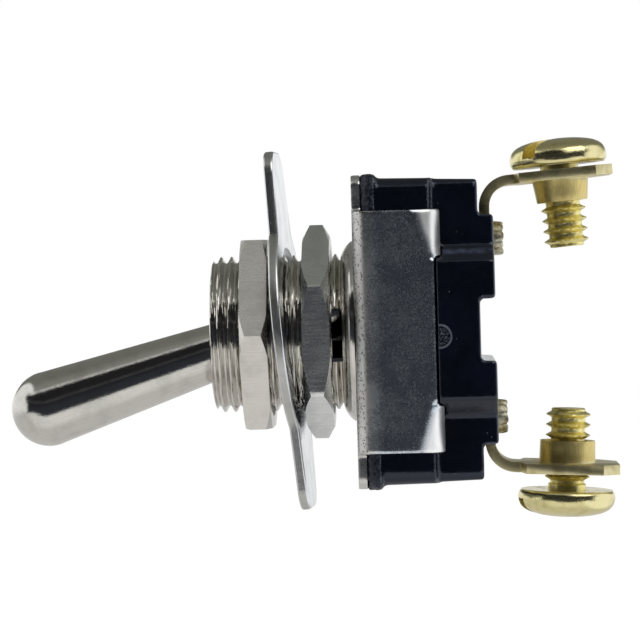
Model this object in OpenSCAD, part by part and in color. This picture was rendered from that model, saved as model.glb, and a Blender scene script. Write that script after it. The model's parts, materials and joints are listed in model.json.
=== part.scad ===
// Heavy-duty single-pole panel toggle switch, lever resting on its lower stop.
// The bushing's axis is X: the lever points to -X, the screw terminals to +X, and the lever swings in the XZ plane.
// The origin is on the bushing's axis, at the front face of the mounting frame.

/* [Bushing] */
// Outside diameter of the bushing's thread (15/32 inch)
thread_d = 11.9; // [11.4:0.05:12.7]
// Height of the bushing in front of the frame
bushing_len = 10.9; // [10.7:0.1:13]
// Height of the rounded shoulder that seats on the frame
shoulder_h = 1.05; // [0.7:0.05:1.4]
// Length of the plain relief between the shoulder and the thread
relief_len = 0.6; // [0.3:0.05:1]
// Depth of the lever's pivot behind the bushing's mouth
pivot_depth = 4.2; // [4:0.1:4.8]
// Diameter of the neck that retains the lever's ball
neck_d = 6.1; // [5.9:0.05:6.5]

/* [Nuts] */
// Wall of both nuts between the thread and their flats (9/16 inch across the flats)
nut_wall = 1.2; // [1:0.05:2.5]
// Thickness of the front nut
front_nut_t = 2.05; // [1.6:0.05:2.2]
// Length of thread left free in front of the front nut
front_nut_setback = 2.35; // [1.5:0.05:2.4]
// Thickness of the back nut
back_nut_t = 2.05; // [1.6:0.05:2.1]
// Height of the back nut's rear face above the frame
back_nut_lift = 1.85; // [1.7:0.05:1.9]
// Angle that the back nut is turned to
back_nut_turn = 4; // [0:0.5:30]

/* [Indicator plate] */
// Length of the indicator plate from tip to tip
plate_len = 27.4; // [25:0.1:32]
// How far the plate's round middle stands out past the nuts' corners
plate_rim = 0.3; // [0:0.05:1]
// Width of each wing where it leaves the round middle
wing_root_w = 8.2; // [7:0.1:9]
// Width of each wing at its tip
wing_tip_w = 6.8; // [5:0.1:7]
// Thickness of the plate
plate_t = 0.75; // [0.5:0.05:0.8]
// Height of the loose plate's middle above the frame
plate_lift = 5.1; // [5.1:0.05:5.3]
// Distance that the loose plate has slipped up across the bushing
plate_shift = 0.2; // [0:0.05:0.25]
// Lean of the loose plate, its top towards the lever
plate_lean = 4.5; // [0:0.1:4.6]
// Swing of the loose plate about the vertical
plate_swing = 3.7; // [0:0.1:4]

/* [Lever] */
// Angle of the lever from the bushing's axis at each stop
lever_tilt = 17.3; // [12:0.1:17.6]
// Distance from the pivot to the end of the lever's round tip
lever_reach = 20.8; // [16:0.05:26]
// Diameter of the lever's round tip
lever_tip_d = 5.77; // [4.6:0.05:6.4]
// Diameter that the lever's taper narrows to at the pivot
lever_waist_d = 3.8; // [3:0.05:3.9]
// Diameter of the lever's ball
ball_d = 7.2; // [7:0.05:7.5]
// Diameter of the tail's end
tail_d = 3.5; // [3.2:0.05:3.6]
// Diameter of the pivot pin
pin_d = 1.5; // [1.2:0.05:1.8]
// Diameter of the plunger
plunger_d = 2.1; // [1.8:0.05:2.2]
// Distance that the plunger's nose stops short of the rocking contact's fulcrum
nose_gap = 1; // [1:0.05:1.3]
// Distance that the plunger stands out of the lever's tail
plunger_out = 2.2; // [2:0.1:2.6]
// Wire diameter of the plunger's spring
spring_wire = 0.26; // [0.2:0.02:0.3]
// Turns of the plunger's spring
spring_turns = 7; // [5:1:9]

/* [Mounting frame] */
// Thickness of the frame's sheet
sheet_t = 0.7; // [0.5:0.05:0.8]
// Length of the frame's front plate
frame_len = 23.5; // [23:0.1:26]
// Length of the frame's side flanges
flange_len = 18.1; // [16:0.1:19]
// Depth that the flanges reach down the case
flange_depth = 6.1; // [5.5:0.1:6.4]
// Length of each crimped ear
ear_len = 3.5; // [2.5:0.1:4]

/* [Case] */
// Width of the case between the frame's flanges
case_w = 13.6; // [13.2:0.1:15]
// Width of the ledge on each side of the case that the ears are crimped over
ledge_w = 0.7; // [0.5:0.05:0.9]
// Depth from the frame's front face to the case's back
case_depth = 9.4; // [9.2:0.1:10.5]
// Length of the case's body behind the rim
body_len = 23; // [22:0.1:23.4]
// Thickness of the case's end and side walls
case_wall = 1.6; // [1.3:0.1:1.8]
// Thickness of the case's floor
floor_t = 1.8; // [1.5:0.1:1.9]
// Height of the terminal bosses on the case's back
boss_h = 1.15; // [1:0.05:1.4]
// Distance from the centre line to the inner end of a boss
boss_inner = 2.3; // [1.8:0.1:2.8]
// Distance from the centre line to the outer end of a boss
boss_outer = 8.6; // [8.4:0.1:9.4]

/* [Terminals] */
// Thickness of the terminal strip
term_t = 0.75; // [0.6:0.05:1]
// Width of a terminal's narrow leg
leg_w = 4; // [3.4:0.1:4.6]
// Distance from the centre line to a leg's inner end
leg_inner = 4.6; // [3.6:0.1:5.2]
// Width of a terminal's tab
tab_w = 7.5; // [6.5:0.1:9]
// Length of a terminal's wide tab
tab_len = 7.1; // [6:0.1:8]
// Distance from the centre line to the middle of the upper tab, at its screw
upper_offset = 11.5; // [11:0.1:12.5]
// Distance from the centre line to the middle of the lower tab, at its screw
lower_offset = 10.8; // [10.6:0.1:12.5]
// Distance from the case's back to a terminal screw's axis
screw_setback = 6.4; // [6.2:0.1:7.4]
// Outward splay of the upper tab
splay_upper = 4.5; // [0:0.1:6]
// Outward splay of the lower tab
splay_lower = 2.7; // [0:0.1:6]
// Distance from the centre line to a terminal rivet
rivet_offset = 6.8; // [6.6:0.1:7]
// Diameter of a rivet's heads
rivet_head_d = 2.75; // [2.4:0.05:3.2]
// Height of a rivet's outer head
rivet_head_h = 1.1; // [0.8:0.05:1.3]

/* [Terminal screws] */
// Outside diameter of the terminal screws' thread (No. 6)
screw_d = 3.4; // [3:0.05:4]
// Length of a screw under its head
screw_len = 6.2; // [5:0.1:7]
// Diameter of a screw's head
head_d = 7.4; // [6:0.1:8]
// Height of a screw's head
head_h = 2.1; // [1.6:0.05:2.6]
// Gap left under the upper screw's head
upper_gap = 0.35; // [0.1:0.05:1.5]
// Gap left under the lower screw's head
lower_gap = 1.35; // [0.1:0.05:1.5]
// Angle of the upper screw's slot from the terminal's length
upper_slot_turn = 50; // [0:5:90]
// Angle of the lower screw's slot from the terminal's length
lower_slot_turn = 15; // [0:5:90]

/* [Contacts] */
// Angle of the rocking contact from level at each stop
rock_tilt = 8; // [5:0.5:8]
// Gap between the rocking contact's ends and the rivets' inner heads
arm_gap = 0.22; // [0.15:0.01:0.5]
// Width of the rocking contact
arm_w = 3.6; // [3:0.1:4]
// Thickness of the contact strips
strip_t = 0.5; // [0.4:0.05:0.55]
// Diameter of the contact buttons
button_d = 2.4; // [2:0.1:2.8]

/* [Hidden] */
$fn = 64;

run_fit = 0.03;           // radial clearance of everything that turns or slides in something
card_t = 0.4;             // fibre liner
lip_h = 0.45;             // staked lip behind the frame's plate
mouth_chamfer = 0.35;
thread_r = thread_d / 2;
relief_r = thread_r - 0.6;
spigot_r = thread_r - 0.35;
lip_r = thread_r;
tail_bore_r = spigot_r - 0.85;
shoulder_r = thread_r + shoulder_h;
pivot_s = bushing_len - pivot_depth;
ball_r = ball_d / 2;
seat_r = ball_r + run_fit;
neck_r = neck_d / 2;
neck_s = pivot_s + sqrt(seat_r * seat_r - neck_r * neck_r);
// the mouth follows the lever's edge at its stop, a little clear of it
mouth_clear = 0.17;
tip_r = lever_tip_d / 2;
waist_r = lever_waist_d / 2;
tip_at = lever_reach - tip_r;
tip_step = 0.01;          // the taper meets the round tip just inside its widest circle
lever_slope = (tip_r - waist_r) / tip_at;
edge_at_mouth = pivot_depth * tan(lever_tilt)
    + (waist_r + lever_slope * pivot_depth / cos(lever_tilt)) / cos(lever_tilt);
mouth_r = max(neck_r, edge_at_mouth + mouth_clear);
ball_bore_len = 3.3;      // plain bore behind the ball, before the wider tail bore
pin_r = pin_d / 2;
pin_half = relief_r - 0.45;
tail_r = tail_d / 2;
plunger_r = plunger_d / 2;
spring_bore_r = plunger_r + run_fit;
spring_bore_end = 1.5;    // distance of the spring bore's closed end behind the pivot
plunger_inner = 6;        // distance of the plunger's inner end behind the pivot
spring_r = plunger_r - 0.08 - spring_wire / 2;

nut_af = thread_d + 2 * nut_wall;
nut_r = nut_af / sqrt(3);
nut_chamfer_angle = 30;
front_nut_bearing = nut_af / 2 + 0.37;  // radius of a nut's flat face, inside its chamfer
back_nut_bearing = nut_af / 2 + 0.12;
plate_hole_r = thread_r + 0.35;
plate_w = 2 * (nut_r + plate_rim);
wing_corner = 1.2;        // radius of the corners at a wing's tip
wing_inset = 0.02;        // how far inside its two corner circles a wing's straight end stops

frame_w = case_w + 2 * sheet_t;
bend_r = sheet_t + 0.35;
ear_r = 0.15;
ear_flat = ledge_w - ear_r - 0.2;
ledge_x = flange_depth - 0.25;

rim_x = 1.8;
rim_front = sheet_t;
rim_len = frame_len + 0.1;
case_end_w = case_w - 2 * ledge_w;
front_chamfer = 0.4;      // clears the inside of the flanges' bend
ledge_chamfer = 0.2;      // clears the inside of the ears' bend
parting_step = 0.05;      // the case's ends step in behind the mould's parting line
card_x = sheet_t + lip_h + 0.05;
card_back = card_x + card_t;
cavity_w = case_end_w - 2 * case_wall;
cavity_len = body_len - 2 * case_wall;
mouth_w = case_w - 1.3;
mouth_len = cavity_len + 1.2;
floor_x = case_depth - floor_t;
block_w = frame_w;
block_flat = 5.1;         // half length of the case's proud middle
block_foot = 6.4;         // half length at the foot of its sloped ends
block_clear = 0.1;
body_draft = 0.22;        // how much the case narrows at each end towards its back
boss_top = case_depth + boss_h;
channel_floor = case_depth + 0.2;
leg_back = channel_floor + term_t;
channel_side_gap = 0.1;
bend_in = 1.6;            // inside radius of a terminal's bend
join = 0.02;              // how far a terminal's straight parts run into its bend
shoulder_len = 0.35;      // length over which a leg widens to its tab
tab_corner = 1.3;
tab_past = 0.35;          // how far a tab's middle lies behind its screw
collar_r = 2.15;
upper_collar_taper = 0.22;
lower_collar_taper = 0.05;
collar_h = 1.65;
screw_r = screw_d / 2;
screw_hole_r = screw_r + run_fit;
screw_x = case_depth + screw_setback;
rivet_r = 1;
rivet_rim_h = 0.6 * rivet_head_h;
head_rim_h = 0.6 * head_h;
slot_w = 1.2;
slot_depth = 1;

strip_x = floor_x - strip_t;
arm_len = rivet_offset - rivet_head_d / 2 - arm_gap;
inner_head_h = 0.6;
fulcrum_rise = 1.6;       // height of the rocking contact's fulcrum over the strips
fulcrum_x = strip_x - fulcrum_rise;
plunger_reach = pivot_s + fulcrum_x - nose_gap;
tail_len = plunger_reach - plunger_out;
trunnion_r = 0.4;
valley_x = fulcrum_x - trunnion_r - 0.25;
crest_z = arm_len - 1.5;
crest_rise = 1.25;
strap_gap = 0.3;
strap_half = arm_w / 2 + strap_gap;
saddle_half = 1.3;        // half length of the strap's two ears
strip_end = 1.7;          // how far a contact strip runs past its rivet
button_h = 0.5;
button_at = arm_len - button_d / 2;
// the far edge of the moving button, when the rocking contact lies over on the fixed one
button_touch_x = fulcrum_x + (valley_x + strip_t + button_h - fulcrum_x) * cos(rock_tilt) + arm_len * sin(rock_tilt);
contact_gap = 0.02;

// local +Z runs out along the bushing, and local +X is up
module forward() { rotate([0, -90, 0]) children(); }

// the lever's own frame: origin on the pivot, local -X towards the lever's tip
module at_pivot() { translate([-pivot_s, 0, 0]) rotate([0, -lever_tilt, 0]) children(); }

module lever() {
    color([0.78, 0.77, 0.74])
    at_pivot() forward() difference() {
        union() {
            cylinder(r1 = waist_r, r2 = tip_r - tip_step, h = tip_at);
            translate([0, 0, tip_at]) sphere(tip_r);
            sphere(ball_r);
            translate([0, 0, -tail_len]) cylinder(r1 = tail_r, r2 = tail_r + 0.3, h = tail_len);
        }
        translate([0, 0, -tail_len - 1]) cylinder(r = spring_bore_r, h = tail_len + 1 - spring_bore_end);
        rotate([90, 0, 0]) cylinder(r = pin_r, h = 2 * ball_d, center = true);
    }
}

module pivot_pin() {
    color([0.6, 0.6, 0.6])
    at_pivot() rotate([90, 0, 0]) cylinder(r = pin_r, h = 2 * pin_half, center = true);
}

module bushing() {
    color([0.8, 0.79, 0.76])
    forward() difference() {
        union() {
            translate([0, 0, -sheet_t - lip_h]) cylinder(r = lip_r, h = lip_h);
            translate([0, 0, -sheet_t]) cylinder(r = spigot_r, h = sheet_t);
            rotate_extrude() intersection() {
                union() {
                    square([thread_r, shoulder_h]);
                    translate([thread_r, 0]) circle(shoulder_h);
                }
                square([shoulder_r, shoulder_h]);
            }
            cylinder(r = relief_r, h = bushing_len - 1);
            translate([0, 0, shoulder_h + relief_len])
                cylinder(r = thread_r, h = bushing_len - shoulder_h - relief_len - mouth_chamfer);
            translate([0, 0, bushing_len - mouth_chamfer])
                cylinder(r1 = thread_r, r2 = thread_r - mouth_chamfer, h = mouth_chamfer);
        }
        // mouth, neck, ball seat, ball bore and tail bore, from front to back
        translate([0, 0, neck_s]) cylinder(r1 = neck_r, r2 = mouth_r, h = bushing_len - neck_s);
        translate([0, 0, bushing_len]) cylinder(r = mouth_r, h = 1);
        intersection() {
            translate([0, 0, pivot_s]) sphere(seat_r);
            translate([0, 0, pivot_s]) cylinder(r = seat_r, h = neck_s - pivot_s);
        }
        translate([0, 0, pivot_s - ball_bore_len]) cylinder(r = seat_r, h = ball_bore_len);
        translate([0, 0, -sheet_t - lip_h - 1])
            cylinder(r = tail_bore_r, h = pivot_s - ball_bore_len + sheet_t + lip_h + 1);
        // the pivot pin's slot, open at the back and round at the pin
        translate([0, 0, pivot_s]) rotate([90, 0, 0])
            cylinder(r = pin_r + run_fit, h = 2 * pin_half + 0.2, center = true);
        translate([-pin_r - run_fit, -pin_half - 0.1, -sheet_t - lip_h - 1])
            cube([2 * (pin_r + run_fit), 2 * pin_half + 0.2, pivot_s + sheet_t + lip_h + 1]);
    }
}

// a hexagon nut, its corners chamfered on both faces
module hex_nut(thickness, bearing_r) {
    rim_r = nut_r + 0.1;
    rise = (rim_r - bearing_r) * tan(nut_chamfer_angle);
    difference() {
        intersection() {
            cylinder(r = nut_r, h = thickness, $fn = 6);
            rotate_extrude() polygon([
                [0, 0], [bearing_r, 0], [rim_r, rise], [rim_r, thickness - rise], [bearing_r, thickness], [0, thickness]
            ]);
        }
        translate([0, 0, -1]) cylinder(r = thread_r + run_fit, h = thickness + 2);
    }
}

module front_nut() {
    color([0.82, 0.81, 0.78])
    forward() translate([0, 0, bushing_len - front_nut_setback - front_nut_t])
        rotate([0, 0, 90]) hex_nut(front_nut_t, front_nut_bearing);
}

module back_nut() {
    color([0.8, 0.79, 0.77])
    forward() translate([0, 0, back_nut_lift])
        rotate([0, 0, back_nut_turn]) hex_nut(back_nut_t, back_nut_bearing);
}

// the plate without its hole: a round middle and two straight tapered wings with round corners
module plate_blank() {
    tip_at = plate_len / 2 - wing_corner;
    root_at = sqrt(plate_w * plate_w - wing_root_w * wing_root_w) / 2;
    corner_at = wing_tip_w / 2 - wing_corner;
    lean = atan((wing_root_w - wing_tip_w) / 2 / (tip_at - root_at));
    edge_r = wing_corner - wing_inset;
    middle_half = corner_at + edge_r / cos(lean) + tip_at * tan(lean);
    cylinder(d = plate_w, h = plate_t, center = true);
    for (side = [-1, 1]) {
        for (y = [-1, 1]) translate([side * tip_at, y * corner_at, 0])
            cylinder(r = wing_corner, h = plate_t, center = true);
        linear_extrude(plate_t, center = true) polygon([
            [0, middle_half],
            [side * (tip_at + edge_r * sin(lean)), corner_at + edge_r * cos(lean)],
            [side * (tip_at + edge_r), corner_at],
            [side * (tip_at + edge_r), -corner_at],
            [side * (tip_at + edge_r * sin(lean)), -corner_at - edge_r * cos(lean)],
            [0, -middle_half]
        ]);
    }
}

module indicator_plate() {
    color([0.84, 0.83, 0.8])
    translate([-plate_lift, 0, plate_shift]) rotate([0, -plate_lean, 0]) rotate([0, 0, -plate_swing])
        forward() difference() {
            plate_blank();
            cylinder(r = plate_hole_r, h = 2 * plate_t, center = true);
        }
}

// the flange's section: front plate, a bend at each side, and the flange down to the given depth
module frame_section(depth) {
    difference() {
        union() {
            translate([bend_r, -frame_w / 2]) square([depth - bend_r, frame_w]);
            translate([0, -frame_w / 2 + bend_r]) square([bend_r, frame_w - 2 * bend_r]);
            for (y = [-1, 1]) translate([bend_r, y * (frame_w / 2 - bend_r)]) circle(bend_r);
        }
        translate([bend_r, -case_w / 2]) square([depth, case_w]);
        translate([sheet_t, -case_w / 2 + bend_r - sheet_t]) square([depth, case_w - 2 * (bend_r - sheet_t)]);
        for (y = [-1, 1]) translate([bend_r, y * (frame_w / 2 - bend_r)]) circle(bend_r - sheet_t);
    }
}

// one crimped ear in section: a bend that turns the flange's edge in over the case's ledge
module ear_section() {
    outer = sheet_t + ear_r;
    translate([ledge_x - ear_r, frame_w / 2 - outer]) {
        intersection() {
            difference() {
                circle(outer);
                circle(ear_r);
            }
            square(outer);
        }
    }
    translate([ledge_x, frame_w / 2 - outer - ear_flat]) square([sheet_t, ear_flat]);
}

module mounting_frame() {
    color([0.7, 0.7, 0.7])
    difference() {
        union() {
            translate([0, 0, -flange_len / 2]) linear_extrude(flange_len)
                frame_section(ledge_x - ear_r);
            // plain edge of the flanges between the ears
            for (y = [-1, 1]) translate([ledge_x - ear_r - 0.1, y > 0 ? case_w / 2 : -frame_w / 2, ear_len - flange_len / 2 + 0.2])
                cube([flange_depth - ledge_x + ear_r + 0.1, sheet_t, flange_len - 2 * ear_len - 0.4]);
            for (y = [0, 1], z = [0, 1]) mirror([0, y, 0]) mirror([0, 0, z])
                translate([0, 0, flange_len / 2 - ear_len]) linear_extrude(ear_len) ear_section();
            // the front plate runs on past the flanges, its corners rounded
            for (z = [0, 1]) mirror([0, 0, z]) rotate([0, 90, 0]) mirror([1, 0, 0]) linear_extrude(sheet_t) {
                translate([0, -frame_w / 2 + bend_r]) square([frame_len / 2 - 1, frame_w - 2 * bend_r]);
                translate([0, -frame_w / 2 + bend_r + 1]) square([frame_len / 2, frame_w - 2 * bend_r - 2]);
                for (y = [-1, 1]) translate([frame_len / 2 - 1, y * (frame_w / 2 - bend_r - 1)]) circle(1);
            }
        }
        translate([-1, 0, 0]) rotate([0, 90, 0]) cylinder(r = spigot_r, h = sheet_t + 2);
    }
}

// a rectangle across YZ with round corners, as deep as asked
module rounded_block(x, depth, width, length, r) {
    translate([x, 0, 0]) rotate([0, 90, 0]) linear_extrude(depth) {
        square([length, width - 2 * r], center = true);
        square([length - 2 * r, width], center = true);
        for (a = [-1, 1], b = [-1, 1]) translate([a * (length / 2 - r), b * (width / 2 - r)]) circle(r);
    }
}

// the case seen from its side: body with drafted ends, a step at the parting line, and the two bosses
module case_profile() {
    half = body_len / 2;
    outline = [
        [rim_front, half], [flange_depth, half - body_draft / 2], [flange_depth, half - body_draft / 2 - parting_step],
        [case_depth, half - body_draft - parting_step], [case_depth, boss_outer], [boss_top, boss_outer],
        [boss_top, boss_inner], [case_depth, boss_inner]
    ];
    rotate([90, 0, 0]) translate([0, 0, -case_w]) linear_extrude(2 * case_w)
        polygon(concat(outline, [for (i = [len(outline) - 1 : -1 : 0]) [outline[i][0], -outline[i][1]]]));
}

// the wide front part that the flanges hold, its long edges chamfered
module case_front() {
    outline = [
        [rim_front, case_w / 2 - front_chamfer], [rim_front + front_chamfer, case_w / 2],
        [ledge_x - ledge_chamfer, case_w / 2], [ledge_x, case_w / 2 - ledge_chamfer]
    ];
    translate([0, 0, -body_len]) linear_extrude(2 * body_len)
        polygon(concat(outline, [for (i = [len(outline) - 1 : -1 : 0]) [outline[i][0], -outline[i][1]]]));
}

// the proud middle behind the flanges and over the bosses, its ends sloping down to the narrow part
module case_middle() {
    intersection() {
        translate([flange_depth + block_clear, 0, 0]) rotate([0, 90, 0])
            linear_extrude(boss_top - flange_depth - block_clear) polygon([
                [-block_foot, case_end_w / 2], [-block_flat, block_w / 2],
                [block_flat, block_w / 2], [block_foot, case_end_w / 2],
                [block_foot, -case_end_w / 2], [block_flat, -block_w / 2],
                [-block_flat, -block_w / 2], [-block_foot, -case_end_w / 2]
            ]);
        union() {
            translate([0, -block_w, -flange_len / 2 + ear_len + block_clear])
                cube([2 * case_depth, 2 * block_w, flange_len - 2 * (ear_len + block_clear)]);
            translate([ledge_x + sheet_t + block_clear, -block_w, -body_len])
                cube([case_depth, 2 * block_w, 2 * body_len]);
        }
    }
}

module case() {
    color([0.08, 0.09, 0.14])
    difference() {
        union() {
            rounded_block(rim_front + front_chamfer, rim_x - rim_front - front_chamfer, case_w, rim_len, 1);
            rounded_block(rim_front, rim_x - rim_front, case_w - 2 * front_chamfer, rim_len, 1);
            intersection() {
                case_profile();
                union() {
                    intersection() {
                        case_front();
                        rounded_block(0, boss_top, case_w, body_len, 1.2);
                    }
                    rounded_block(0, 2 * case_depth, case_end_w, body_len, 1);
                    case_middle();
                }
            }
        }
        // mouth, chamber, and the bosses' channels with their rivet holes
        rounded_block(rim_front - 1, card_back - rim_front + 1, mouth_w, mouth_len, 0.8);
        rounded_block(card_back - 0.1, floor_x - card_back + 0.1, cavity_w, cavity_len, 0.8);
        for (z = [0, 1]) mirror([0, 0, z]) {
            translate([channel_floor, -leg_w / 2 - channel_side_gap, leg_inner - 0.1])
                cube([boss_h + 1, leg_w + 2 * channel_side_gap, body_len]);
            translate([floor_x - 1, 0, rivet_offset]) rotate([0, 90, 0]) cylinder(r = rivet_r, h = floor_t + 3);
        }
    }
}

module insulating_liner() {
    slot_half = (pivot_s + card_back) * tan(lever_tilt) + tail_r + 0.8;
    color([0.3, 0.22, 0.16])
    difference() {
        rounded_block(card_x, card_t, mouth_w - 0.2, mouth_len - 0.2, 0.7);
        rounded_block(card_x - 1, card_t + 2, tail_d + 1.2, 2 * slot_half, 1);
    }
}

module plunger() {
    color([0.72, 0.6, 0.35])
    at_pivot() forward() {
        translate([0, 0, -plunger_reach + plunger_r]) {
            sphere(plunger_r);
            cylinder(r = plunger_r, h = plunger_reach - plunger_r - plunger_inner);
        }
    }
}

// a coil about Z: rings of the wire's section along the helix, joined into one closed tube
module coil(r, wire, length, turns, sides = 6, steps = 12) {
    rings = turns * steps;
    function ring(i) = let (a = 360 * i / steps, z = wire / 2 + (length - wire) * i / rings)
        [for (k = [0 : sides - 1]) let (b = 360 * k / sides)
            [(r + wire / 2 * cos(b)) * cos(a), (r + wire / 2 * cos(b)) * sin(a), z + wire / 2 * sin(b)]];
    polyhedron(
        points = [for (i = [0 : rings]) each ring(i)],
        faces = concat(
            [[for (k = [0 : sides - 1]) k]],
            [for (i = [0 : rings - 1], k = [0 : sides - 1])
                let (n = (k + 1) % sides) [i * sides + k, (i + 1) * sides + k, (i + 1) * sides + n, i * sides + n]],
            [[for (k = [sides - 1 : -1 : 0]) rings * sides + k]]
        )
    );
}

module lever_spring() {
    color([0.6, 0.6, 0.62])
    at_pivot() forward() translate([0, 0, -plunger_inner])
        coil(spring_r, spring_wire, plunger_inner - spring_bore_end, spring_turns);
}

// the rocking contact's section: a valley over the fulcrum, a crest on each arm, and the ends bent back
module rocker_section() {
    for (z = [0, 1]) mirror([0, z]) polygon([
        [valley_x, -0.05], [valley_x - crest_rise, crest_z], [valley_x, arm_len],
        [valley_x + strip_t, arm_len], [valley_x - crest_rise + strip_t * 1.1, crest_z],
        [valley_x + strip_t, -0.05]
    ]);
}

module on_fulcrum() { translate([fulcrum_x, 0, 0]) rotate([0, rock_tilt, 0]) translate([-fulcrum_x, 0, 0]) children(); }

module rocker_contact() {
    color([0.75, 0.55, 0.35])
    on_fulcrum() {
        difference() {
            rotate([90, 0, 0]) translate([0, 0, -arm_w / 2]) linear_extrude(arm_w) rocker_section();
            translate([0, 0, -button_at]) rotate([0, 90, 0]) cylinder(r = 0.5, h = case_depth);
        }
        translate([fulcrum_x, 0, 0]) rotate([90, 0, 0])
            cylinder(r = trunnion_r, h = 2 * (strap_half + strip_t + 0.2), center = true);
    }
}

module rocker_button() {
    color([0.85, 0.85, 0.86])
    on_fulcrum() translate([valley_x + strip_t, 0, -button_at]) rotate([0, 90, 0]) cylinder(d = button_d, h = button_h);
}

module fulcrum_strap() {
    ear_top = fulcrum_x - trunnion_r - 0.1;
    color([0.78, 0.62, 0.3])
    difference() {
        union() {
            translate([strip_x, -leg_w / 2, 0]) cube([strip_t, leg_w, rivet_offset + strip_end]);
            translate([strip_x, -strap_half - strip_t, -saddle_half])
                cube([strip_t, 2 * (strap_half + strip_t), 2 * saddle_half]);
            for (y = [-1, 1]) translate([ear_top, y > 0 ? strap_half : -strap_half - strip_t, -saddle_half])
                cube([strip_x - ear_top + 0.1, strip_t, 2 * saddle_half]);
        }
        translate([fulcrum_x, 0, 0]) rotate([90, 0, 0]) cylinder(r = trunnion_r + run_fit, h = frame_w, center = true);
        translate([0, -frame_w / 2, -trunnion_r - run_fit]) cube([fulcrum_x, frame_w, 2 * (trunnion_r + run_fit)]);
        translate([strip_x - 1, 0, rivet_offset]) rotate([0, 90, 0]) cylinder(r = rivet_r, h = strip_t + 2);
    }
}

module fixed_contact() {
    inner_z = button_at - button_d / 2 - 0.3;
    color([0.78, 0.62, 0.3])
    difference() {
        translate([strip_x, -leg_w / 2, -rivet_offset - strip_end])
            cube([strip_t, leg_w, rivet_offset + strip_end - inner_z]);
        translate([strip_x - 1, 0, -rivet_offset]) rotate([0, 90, 0]) cylinder(r = rivet_r, h = strip_t + 2);
    }
}

module fixed_button() {
    color([0.85, 0.85, 0.86])
    translate([button_touch_x + contact_gap, 0, -button_at]) rotate([0, 90, 0])
        cylinder(d = button_d, h = strip_x - button_touch_x - contact_gap);
}

// a terminal above the centre line: leg in the boss's channel, bend, and the splayed tab with its collar
module terminal(offset, splay, taper) {
    bend_x = leg_back + bend_in;
    tab_z = offset - (screw_x - bend_x) * tan(splay);
    bend_z = tab_z - (bend_in + term_t / 2) / cos(splay);
    difference() {
        union() {
            translate([channel_floor, -leg_w / 2, leg_inner]) cube([term_t, leg_w, bend_z + join - leg_inner]);
            translate([bend_x, 0, bend_z]) rotate([90, 0, 0]) rotate([0, 0, 90 + splay])
                translate([0, 0, -leg_w / 2]) rotate_extrude(angle = 90 - splay)
                    translate([bend_in, 0]) square([term_t, leg_w]);
            on_tab(offset, splay) translate([0, 0, -term_t / 2]) linear_extrude(term_t) tab_outline(splay);
            on_tab(offset, splay) translate([0, 0, -term_t / 2 - collar_h])
                cylinder(r1 = collar_r - taper, r2 = collar_r, h = collar_h + 0.1);
        }
        on_tab(offset, splay) translate([0, 0, -tab_len]) cylinder(r = screw_hole_r, h = 2 * tab_len);
        translate([0, 0, rivet_offset]) rotate([0, 90, 0]) cylinder(r = rivet_r, h = 2 * case_depth);
    }
}

// the tab's own frame: origin where the screw's axis meets the tab's middle, local +Z outward
module on_tab(offset, splay) { translate([screw_x, 0, offset]) rotate([0, -splay, 0]) children(); }

module tab_outline(splay) {
    front = (screw_x - leg_back - bend_in) / cos(splay) + (bend_in + term_t / 2) * tan(splay) + join;
    back = tab_len / 2 + tab_past;
    polygon([
        [-front, -leg_w / 2], [back - tab_len - shoulder_len, -leg_w / 2], [back - tab_len, -tab_w / 2],
        [back - tab_corner, -tab_w / 2], [back, -tab_w / 2 + tab_corner],
        [back, tab_w / 2 - tab_corner], [back - tab_corner, tab_w / 2],
        [back - tab_len, tab_w / 2], [back - tab_len - shoulder_len, leg_w / 2], [-front, leg_w / 2]
    ]);
}

module terminal_upper() { color([0.7, 0.62, 0.38]) terminal(upper_offset, splay_upper, upper_collar_taper); }

module terminal_lower() {
    color([0.7, 0.62, 0.38]) mirror([0, 0, 1]) terminal(lower_offset, splay_lower, lower_collar_taper);
}

// a rivet above the centre line: inner head, shank, and an outer head with a low dome
module rivet() {
    dome = rivet_head_h - rivet_rim_h;
    dome_r = (rivet_head_d * rivet_head_d / 4 + dome * dome) / (2 * dome);
    translate([strip_x - inner_head_h, 0, rivet_offset]) rotate([0, 90, 0]) {
        cylinder(d = rivet_head_d, h = inner_head_h);
        cylinder(r = rivet_r, h = leg_back - strip_x + inner_head_h + 0.2);
        translate([0, 0, leg_back - strip_x + inner_head_h]) intersection() {
            cylinder(d = rivet_head_d, h = rivet_head_h);
            translate([0, 0, rivet_head_h - dome_r]) sphere(dome_r);
        }
    }
}

module rivet_upper() { color([0.6, 0.47, 0.3]) rivet(); }

module rivet_lower() { color([0.6, 0.47, 0.3]) mirror([0, 0, 1]) rivet(); }

// a slotted binding-head screw: domed head on a short rim, slot across it, plain shank with a chamfered end
module terminal_screw(gap, slot_turn) {
    dome = head_h - head_rim_h;
    dome_r = (head_d * head_d / 4 + dome * dome) / (2 * dome);
    translate([0, 0, term_t / 2 + gap]) {
        difference() {
            union() {
                cylinder(d = head_d, h = head_rim_h);
                translate([0, 0, head_rim_h]) intersection() {
                    cylinder(d = head_d, h = dome);
                    translate([0, 0, dome - dome_r]) sphere(dome_r);
                }
            }
            rotate([0, 0, slot_turn]) translate([-head_d, -slot_w / 2, head_h - slot_depth])
                cube([2 * head_d, slot_w, slot_depth + 1]);
        }
        translate([0, 0, -screw_len + 0.4]) cylinder(r = screw_r, h = screw_len - 0.4);
        translate([0, 0, -screw_len]) cylinder(r1 = screw_r - 0.4, r2 = screw_r, h = 0.4);
    }
}

module terminal_screw_upper() {
    color([0.86, 0.74, 0.32]) on_tab(upper_offset, splay_upper) terminal_screw(upper_gap, upper_slot_turn);
}

module terminal_screw_lower() {
    color([0.86, 0.74, 0.32]) mirror([0, 0, 1]) on_tab(lower_offset, splay_lower) terminal_screw(lower_gap, lower_slot_turn);
}

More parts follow.
